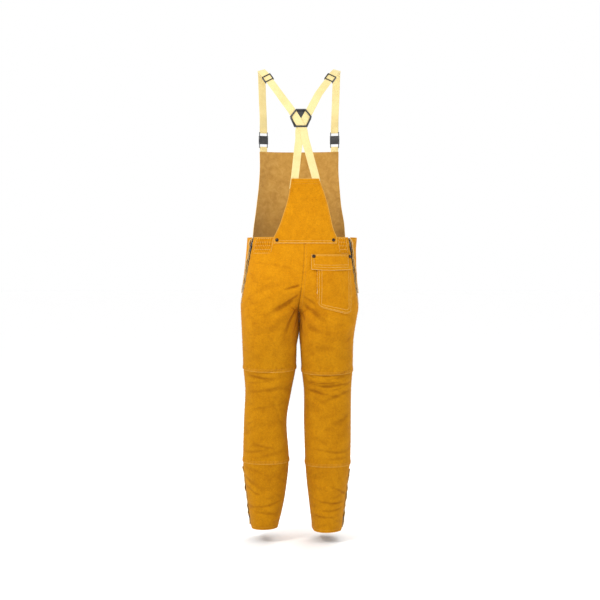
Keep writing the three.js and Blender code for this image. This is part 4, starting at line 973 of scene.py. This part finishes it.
def distance_at(section, x):
    """How far along a right back section lies the place with this x."""
    back = section[:, 1] < 0
    order = np.argsort(section[back, 0])
    return np.interp(x, section[back, 0][order], lengths_along(section)[back][order])


OFF_SEAT = np.array([0.2, -1, 0])  # away from the right seat


def over_seat(x, z, offset):
    """Points over the right seat, folds included, for arrays of x and z."""
    out, s, girth = np.empty(x.shape + (3,)), np.empty(x.shape), np.empty(x.shape)
    for i in np.ndindex(x.shape):
        section = half_section(RIGHT, BACK, z[i])
        s[i] = distance_at(section, x[i])
        places, girth[i] = walk(section, [s[i]])
        out[i] = places[0]
    normal = normals_of(out, OFF_SEAT)
    total = fold_height(RIGHT, BACK, s, z, girth)
    return out + normal * (total + offset)[..., None], normal


def pocket_right(z, clear=POCKET["seam_clear"]):
    return float(walk(half_section(RIGHT, BACK, z), [clear])[0][0][0])


def pocket():
    top = WAIST_Z - POCKET["top"]
    left, right, corner = POCKET["left"], pocket_right(top), POCKET["corner"]
    arcs = corner * (1 - np.cos(np.linspace(0, 1, 9) * math.pi / 2))
    straight = np.arange(left + corner + 4, right - corner - 2, 4)
    x = np.concatenate([left + arcs, straight, (right - arcs)[::-1]])
    base = WAIST_Z - mix(POCKET["bottom_left"], POCKET["bottom_right"], (x - left) / (right - left))
    into = corner - np.minimum(np.minimum(x - left, right - x), corner)
    bottom = base + corner - np.sqrt(np.maximum(corner ** 2 - into ** 2, 0))
    down = spread(POCKET["rows_over"], GRID) / POCKET["rows_over"]
    z = top + (bottom - top)[None, :] * down[:, None]
    x = np.broadcast_to(x, z.shape)
    edge = np.minimum(np.minimum(x - left, right - x), z - bottom[None, :])
    bag = 2.2 * smoothstep(edge, 0, 40) + 0.5 * np.sin(z * 0.07 + x * 0.03) * smoothstep(edge, 4, 30)
    grid, normal = over_seat(x, z, POCKET["lift"] + 1.6 + bag)
    made = leather_sheet("leather_back_pocket", grid, OFF_SEAT, "garment", ["back_pocket"])
    for inset in (4, 6):
        outline, outwards = (
            np.concatenate([a[4:-inset, inset], a[-inset, inset:-inset], a[4:-inset, -inset][::-1]])
            for a in (grid, normal))
        stitch_along("garment", outline, outwards)


FLAP_LIFT = POCKET["lift"] + CAD_LEATHER + LINING_GAP + 1.5  # the flap's outer face above the form


def pocket_flap():
    top = WAIST_Z - FLAP["top"]
    right = pocket_right(top, FLAP["seam_clear"])
    width = right - FLAP["left"]
    across = spread(width, GRID) / width
    down = spread(FLAP["height"], 3.5) / FLAP["height"]
    drop = FLAP["height"] + FLAP["sag"] * np.sin(across * math.pi)
    z = top - down[:, None] * drop[None, :]
    x = np.broadcast_to(FLAP["left"] + across * width, z.shape)
    share = np.broadcast_to(down[:, None], z.shape)
    curl = 3.4 * share ** 2 + 1.8 * share ** 2 * np.sin(x * 0.055 + 0.4)
    grid = on_body(BACK, x, z, FLAP_LIFT + curl)
    made = leather_sheet("leather_pocket_flap", grid, OFF_SEAT, "pocket_flap", ["pocket_flap"])
    normal = normals_of(grid, OFF_SEAT)
    places = [np.s_[row, 4:-4] for row in (3, -5, -7)] + [np.s_[4:-5, column] for column in (4, -5)]
    stitch("pocket_flap", grid, normal, places)


# ---------------- zips and plackets

def zip_axes(side, kind):
    """A zip's two ends, and its directions down, out of the cloth and across the tapes."""
    top, bottom = ZIP_LINES[side, kind]
    down = (bottom - top) / np.linalg.norm(bottom - top)
    z = (top[2] + bottom[2]) / 2
    near = [walk(half_section(side, BACK, level), [0, 5])[0] for level in (z + 3, z, z - 3)]
    out = np.cross(near[1][1] - near[1][0], near[0][0] - near[2][0]) * side * BACK
    out -= down * np.dot(out, down)
    out /= np.linalg.norm(out)
    across = np.cross(down, out)
    return top, bottom, down, out, across


TAPE_HALF = 0.4  # half the thickness of a tape
TAPE_SINK = 0.6  # how much deeper the tapes lie at the teeth
TEETH_DEPTH = CAD_LEATHER + LINING_GAP + TAPE_HALF + TAPE_SINK
TAPE_COLUMNS = (0.9, 3.4, 6.6, 10, 13)  # distances from the zip's middle


def zip_pieces(side, kind):
    top, bottom, down, out, across = zip_axes(side, kind)
    length = np.linalg.norm(bottom - top)
    for face, where in ((BACK, "back"), (FRONT, "front")):
        towards = across * np.sign(across[1]) * face
        t = np.linspace(0, 1, int(length / GRID) + 1)
        base = top + (bottom - top) * t[:, None]
        columns = []
        for d in TAPE_COLUMNS:
            far = np.array([walk(half_section(side, face, b[2]), [d])[0][0] for b in base])
            straight = base + towards * d - out * TEETH_DEPTH
            sunk = far - out * (TEETH_DEPTH - TAPE_SINK)
            columns.append(mix(straight, sunk, smoothstep(d, 3.4, 13)))
        grid = np.stack(columns, 1)
        rows, n = grid.shape[:2]
        name = f"{kind}_zip_tape_{where}_{SIDE_NAME[side]}"
        points = np.concatenate([(grid + out * off).reshape(-1, 3) for off in (TAPE_HALF, -TAPE_HALF)])
        attributes = {"run": np.tile(np.repeat(t * length, n), 2), "across": np.tile(TAPE_COLUMNS, 2 * rows)}
        tape = new_object(f"tape_{name}", points, sum(shell_faces(rows, n), []), [LOOK["tape"]], "garment",
                          attributes)
        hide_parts(name)
        teeth(f"teeth_{name}", top, down, out, towards, length, 0 if face == BACK else 1)


def teeth(name, top, down, out, towards, length, phase):
    """Moulded teeth, each a rounded block with a head, set along the tape's edge."""
    pitch = 3.0
    # Half the outline of a tooth, as (distance from the zip's middle, half width), and its levels.
    profile = [(0.35, 0.55), (0.7, 0.95), (1.9, 0.75), (3.6, 0.9), (3.9, 0.6)]
    heights = [(-1, 0.55), (-0.62, 1), (0.62, 1), (1, 0.55)]
    points, faces = [], []
    for k in range(int(length / pitch) - 1):
        middle = top + down * (pitch * (k + 0.5 + phase * 0.5)) - out * TEETH_DEPTH
        base = len(points)
        for level, size in heights:
            ring = [(d, w * size) for d, w in profile] + [(d, -w * size) for d, w in reversed(profile)]
            for d, w in ring:
                points.append(middle + towards * d + down * w * 0.9 + out * level * 0.98)
        faces += tube_faces(len(heights), 2 * len(profile), base)
    made = new_object(name, points, faces, [LOOK["teeth"]], "garment")
    fix_normals(made)


def fix_normals(made):
    work = bmesh.new()
    work.from_mesh(made.data)
    bmesh.ops.recalc_face_normals(work, faces=work.faces)
    work.to_mesh(made.data)
    work.free()


def placket(side, kind):
    """The storm flap beside a zip: its sewn edge is straight, its free edge waves a little."""
    name = f"{kind}_placket_{SIDE_NAME[side]}"
    top, _, _, out, _ = zip_axes(side, kind)
    upper = (WAIST_Z if kind == "hip" else top[2]) - PLACKET["end_gap"]
    lower = upper - PLACKET["hip_length"] if kind == "hip" else hem(side) + PLACKET["end_gap"]
    levels = upper - spread(upper - lower, GRID)
    u = spread(PLACKET["width"], 3, (0, 0.7, 2.2)) / PLACKET["width"]
    s = PLACKET["edge"] + PLACKET["width"] * u
    points = np.array([walk(half_section(side, FRONT, z), s)[0] for z in levels])
    girth = np.array([[girth_at(side, FRONT, z)] for z in levels])
    z = levels[:, None] + 0 * s
    wave = 1.5 * np.sin(z * 0.085 + side) + 0.9 * np.sin(z * 0.21 + 1)
    standing = 0.8 + LEATHER + (1.7 + 0.7 * wave) * (1 - u) ** 1.5
    relief = stand_off(side, FRONT, s + 0 * z, z, girth)
    grid = points + normals_of(points, out) * (relief + standing)[..., None]
    made = leather_sheet(f"leather_{name}", grid, out, name, [name])
    normal = normals_of(grid, out)
    stitch(name, grid, normal, [np.s_[3:-3, column] for column in (3, -3)])


# ---------------- waist linings

def waist_linings():
    """The elastic in each side's waist casing, and the facing behind it."""
    for side in (LEFT, RIGHT):
        s = np.arange(15, CASING[side][1] - 3, 2.0)
        ripple = 0.22 * np.sin(s * 0.94)[None, :]
        for name, drop, thick, height, look in (
            ("waist_elastic", 2.35, 1.4, 38, "elastic"),
            ("waist_facing", 4.4, 1.2, CASING_HEIGHT, "suede_back"),
        ):
            heights = WAIST_Z - 2 - (CASING_HEIGHT - height) / 2 - spread(height, 3, (0, 1))
            grid = np.array([walk(half_section(side, BACK, z), s)[0] for z in heights])
            normal = normals_of(grid, np.array([0, -1, 0]))
            outer = grid - normal * (drop - ripple)[..., None]
            rows, n = grid.shape[:2]
            points = np.concatenate([outer.reshape(-1, 3), (outer - normal * thick).reshape(-1, 3)])
            run = np.tile(s, 2 * rows)
            across = np.tile(np.repeat(heights - heights[0], n), 2)
            made = new_object(f"{name}_cloth_{SIDE_NAME[side]}", points, sum(shell_faces(rows, n), []),
                              [LOOK[look]], "garment", {"run": run, "across": across, "rim": 0 * run})
            fix_normals(made)
            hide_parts(f"{name}_{SIDE_NAME[side]}")


# ---------------- webbing, from the CAD's own bands

BAND_WIDTH = 25
BAND_THICKEST = 1.6


def band_rings(node):
    """The rings of a CAD band in order: each is its four corners, found by walking the mesh from one end."""
    work = bmesh.new()
    work.from_mesh(frame["nodes"][node].data)
    bmesh.ops.remove_doubles(work, verts=work.verts, dist=1e-5)
    work.verts.ensure_lookup_table()
    ring = cap_rings(work)[0]
    order, seen = [ring], set(ring)
    while True:
        ahead = {e.other_vert(v) for v in ring for e in v.link_edges} - seen
        if len(ahead) != 4:
            break
        ring = matched(ring, ahead)
        order.append(ring)
        seen |= set(ring)
    rings = np.array([[list(v.co) for v in ring] for ring in order]) / MM
    work.free()
    return rings


def cap_rings(work):
    """Rings of four corners that make a band's width by its thickness; the ends, with the fewest neighbours,
    come first."""
    caps = []
    for face in work.faces:
        for edge in face.edges:
            if not edge.is_manifold:
                continue
            other = [f for f in edge.link_faces if f is not face]
            if not other or face.normal.dot(other[0].normal) < 0.9999:
                continue
            corners = list({*face.verts, *other[0].verts})
            if len(corners) != 4:
                continue
            sizes = sorted((a.co - b.co).length / MM for i, a in enumerate(corners) for b in corners[i + 1:])
            across = abs(sizes[2] - BAND_WIDTH) < 0.3 and abs(sizes[5] - BAND_WIDTH) < 0.5
            if sizes[1] < BAND_THICKEST and across:
                caps.append(corners)
    caps.sort(key=lambda c: sum(len(v.link_edges) for v in c))
    return caps


def matched(ring, ahead):
    """The next ring's corners in the order of the last one's."""
    def apart(order):
        return sum((a.co - b.co).length_squared for a, b in zip(ring, order))

    return list(min(permutations(ahead), key=apart))


def webbing(node, body, look="webbing"):
    """A CAD band as woven webbing, with rounded edges, on the same path."""
    rings = band_rings(node)
    centres = rings.mean(1)
    first = rings[0]
    pairs = sorted(((np.linalg.norm(first[0] - first[k]), k) for k in (1, 2, 3)))
    thin, wide = pairs[0][1], pairs[1][1]
    half_side = (rings[:, wide] - rings[:, 0]) / 2
    half_up = (rings[:, thin] - rings[:, 0]) / 2
    if np.dot(np.cross(half_side[0], half_up[0]), centres[1] - centres[0]) < 0:
        half_side = -half_side
    reached = lengths_along(centres)
    count = max(6, int(reached[-1] / 3))
    run = np.linspace(0, reached[-1], count)
    centre, side, up = (read_at(run, reached, vectors) for vectors in (centres, half_side, half_up))
    section = [(-1, 0), (-0.985, 0.75), (-0.93, 1)]
    section += [(a, 1) for a in np.linspace(-0.75, 0.75, 7)] + [(0.93, 1), (0.985, 0.75), (1, 0)]
    section = np.array(section + [(a, -b) for a, b in section[-2:0:-1]])
    points = np.concatenate([centre[i] + side[i] * section[:, :1] + up[i] * section[:, 1:]
                             for i in range(count)])
    n = len(section)
    attributes = {"run": np.repeat(run, n), "across": np.tile(section[:, 0] * BAND_WIDTH / 2, count)}
    made = new_object(f"webbing_{node}", points, tube_faces(count, n), [LOOK[look]], body, attributes)
    fix_normals(made)
    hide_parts(node)


def body_of_node(node):
    for body, members in frame["record"]["behaviour"]["bodies"].items():
        if node in members:
            return body


ROUND_FROM = 28  # degrees; sharper edges of a hard part are rounded
SHARP_FROM = 50  # degrees; edges still sharper after that stay sharp


def rounded(node, look, width, segments=2):
    """A CAD part with its sharp edges rounded, in the same place."""
    source = frame["nodes"][node]
    work = bmesh.new()
    work.from_mesh(source.data)
    bmesh.ops.remove_doubles(work, verts=work.verts, dist=2e-6)
    bmesh.ops.dissolve_limit(work, angle_limit=math.radians(2), verts=work.verts, edges=work.edges)
    mesh = bpy.data.meshes.new(f"{node}_rounded")
    work.to_mesh(mesh)
    work.free()
    made = bpy.data.objects.new(f"{node}_rounded", mesh)
    bpy.context.scene.collection.objects.link(made)
    mesh.materials.append(LOOK[look])
    bevel = made.modifiers.new("round", "BEVEL")
    bevel.width = width * MM
    bevel.segments = segments
    bevel.limit_method = "ANGLE"
    bevel.angle_limit = math.radians(ROUND_FROM)
    bevel.use_clamp_overlap = True
    baked = bpy.data.meshes.new_from_object(made.evaluated_get(bpy.context.evaluated_depsgraph_get()))
    made.modifiers.clear()
    made.data = baked
    baked.shade_smooth()
    baked.set_sharp_from_angle(angle=math.radians(SHARP_FROM))
    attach(made, body_of_node(node))
    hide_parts(node)


def hardware():
    rounded("cross_slider", "plastic", 0.7, 3)
    for stud in ("waist_stud_left", "waist_stud_right", "flap_stud_inner", "flap_stud_outer"):
        rounded(stud, "bronze", 0.25)
    for name in SIDE_NAME.values():
        for part in ("adjuster", "buckle_male", "buckle_female"):
            rounded(f"{part}_{name}", "plastic", 0.5, 3)
        for kind in ("hip", "ankle"):
            rounded(f"{kind}_zip_slider_{name}", "metal", 0.25)
            rounded(f"{kind}_zip_pull_{name}", "metal", 0.25)
        for part in ("strap", "strap_end", "buckle_tab"):
            node = f"{part}_{name}"
            webbing(node, body_of_node(node))


# ---------------- the scene around it

def floor():
    """A white ground a shoe sole's thickness below the hems, wide enough to have no horizon."""
    material, _, shader = node_material("pale_floor")
    set_inputs(shader, Base_Color=(1, 1, 1, 1), Roughness=0.9)
    mesh = bpy.data.meshes.new("floor")
    radius, z, corners = 60.0, -1.548, 64
    turns = np.linspace(0, 2 * math.pi, corners + 1)[:-1]
    ring = [(radius * math.cos(a), radius * math.sin(a), z) for a in turns]
    mesh.from_pydata(ring, [], [tuple(range(corners))])
    mesh.materials.append(material)
    made = bpy.data.objects.new("floor", mesh)
    bpy.context.scene.collection.objects.link(made)


def light(name, place, target, size, watts, colour=(1, 1, 1)):
    data = bpy.data.lights.new(name, "AREA")
    data.energy = watts
    data.size = size
    data.color = colour
    made = bpy.data.objects.new(name, data)
    made.location = place
    made.rotation_euler = (Vector(target) - Vector(place)).to_track_quat("-Z", "Y").to_euler()
    bpy.context.scene.collection.objects.link(made)


def surroundings():
    floor()
    world = bpy.data.worlds.new("studio")
    world.use_nodes = True
    world.node_tree.nodes["Background"].inputs["Color"].default_value = (1, 1, 1, 1)
    world.node_tree.nodes["Background"].inputs["Strength"].default_value = 1.0
    bpy.context.scene.world = world
    bpy.context.scene.view_settings.view_transform = "Standard"
    light("key", (-2.2, -2.6, 1.5), (0, 0, -0.7), 0.9, 70, (1, 0.99, 0.97))
    light("fill", (2.8, -2.6, 0.2), (0, 0, -0.8), 2.4, 8)
    light("rim", (1.2, 3.2, 1.4), (0, 0, -0.7), 2.0, 60)


CAMERA = {"distance": 4.5, "height": -0.66, "aim": (0.003, -0.09, -0.751), "lens": 81.6}


def camera():
    data = bpy.data.cameras.new("camera")
    data.lens = CAMERA["lens"]
    data.sensor_width = 36
    made = bpy.data.objects.new("camera", data)
    made.location = (CAMERA["aim"][0], -CAMERA["distance"], CAMERA["height"])
    made.rotation_euler = (Vector(CAMERA["aim"]) - made.location).to_track_quat("-Z", "Y").to_euler()
    bpy.context.scene.collection.objects.link(made)
    bpy.context.scene.camera = made


camera()
surroundings()
trousers()
bibs()
pocket()
pocket_flap()
for side in (LEFT, RIGHT):
    for kind in ("hip", "ankle"):
        zip_pieces(side, kind)
        placket(side, kind)
waist_linings()
hardware()
build_stitches()
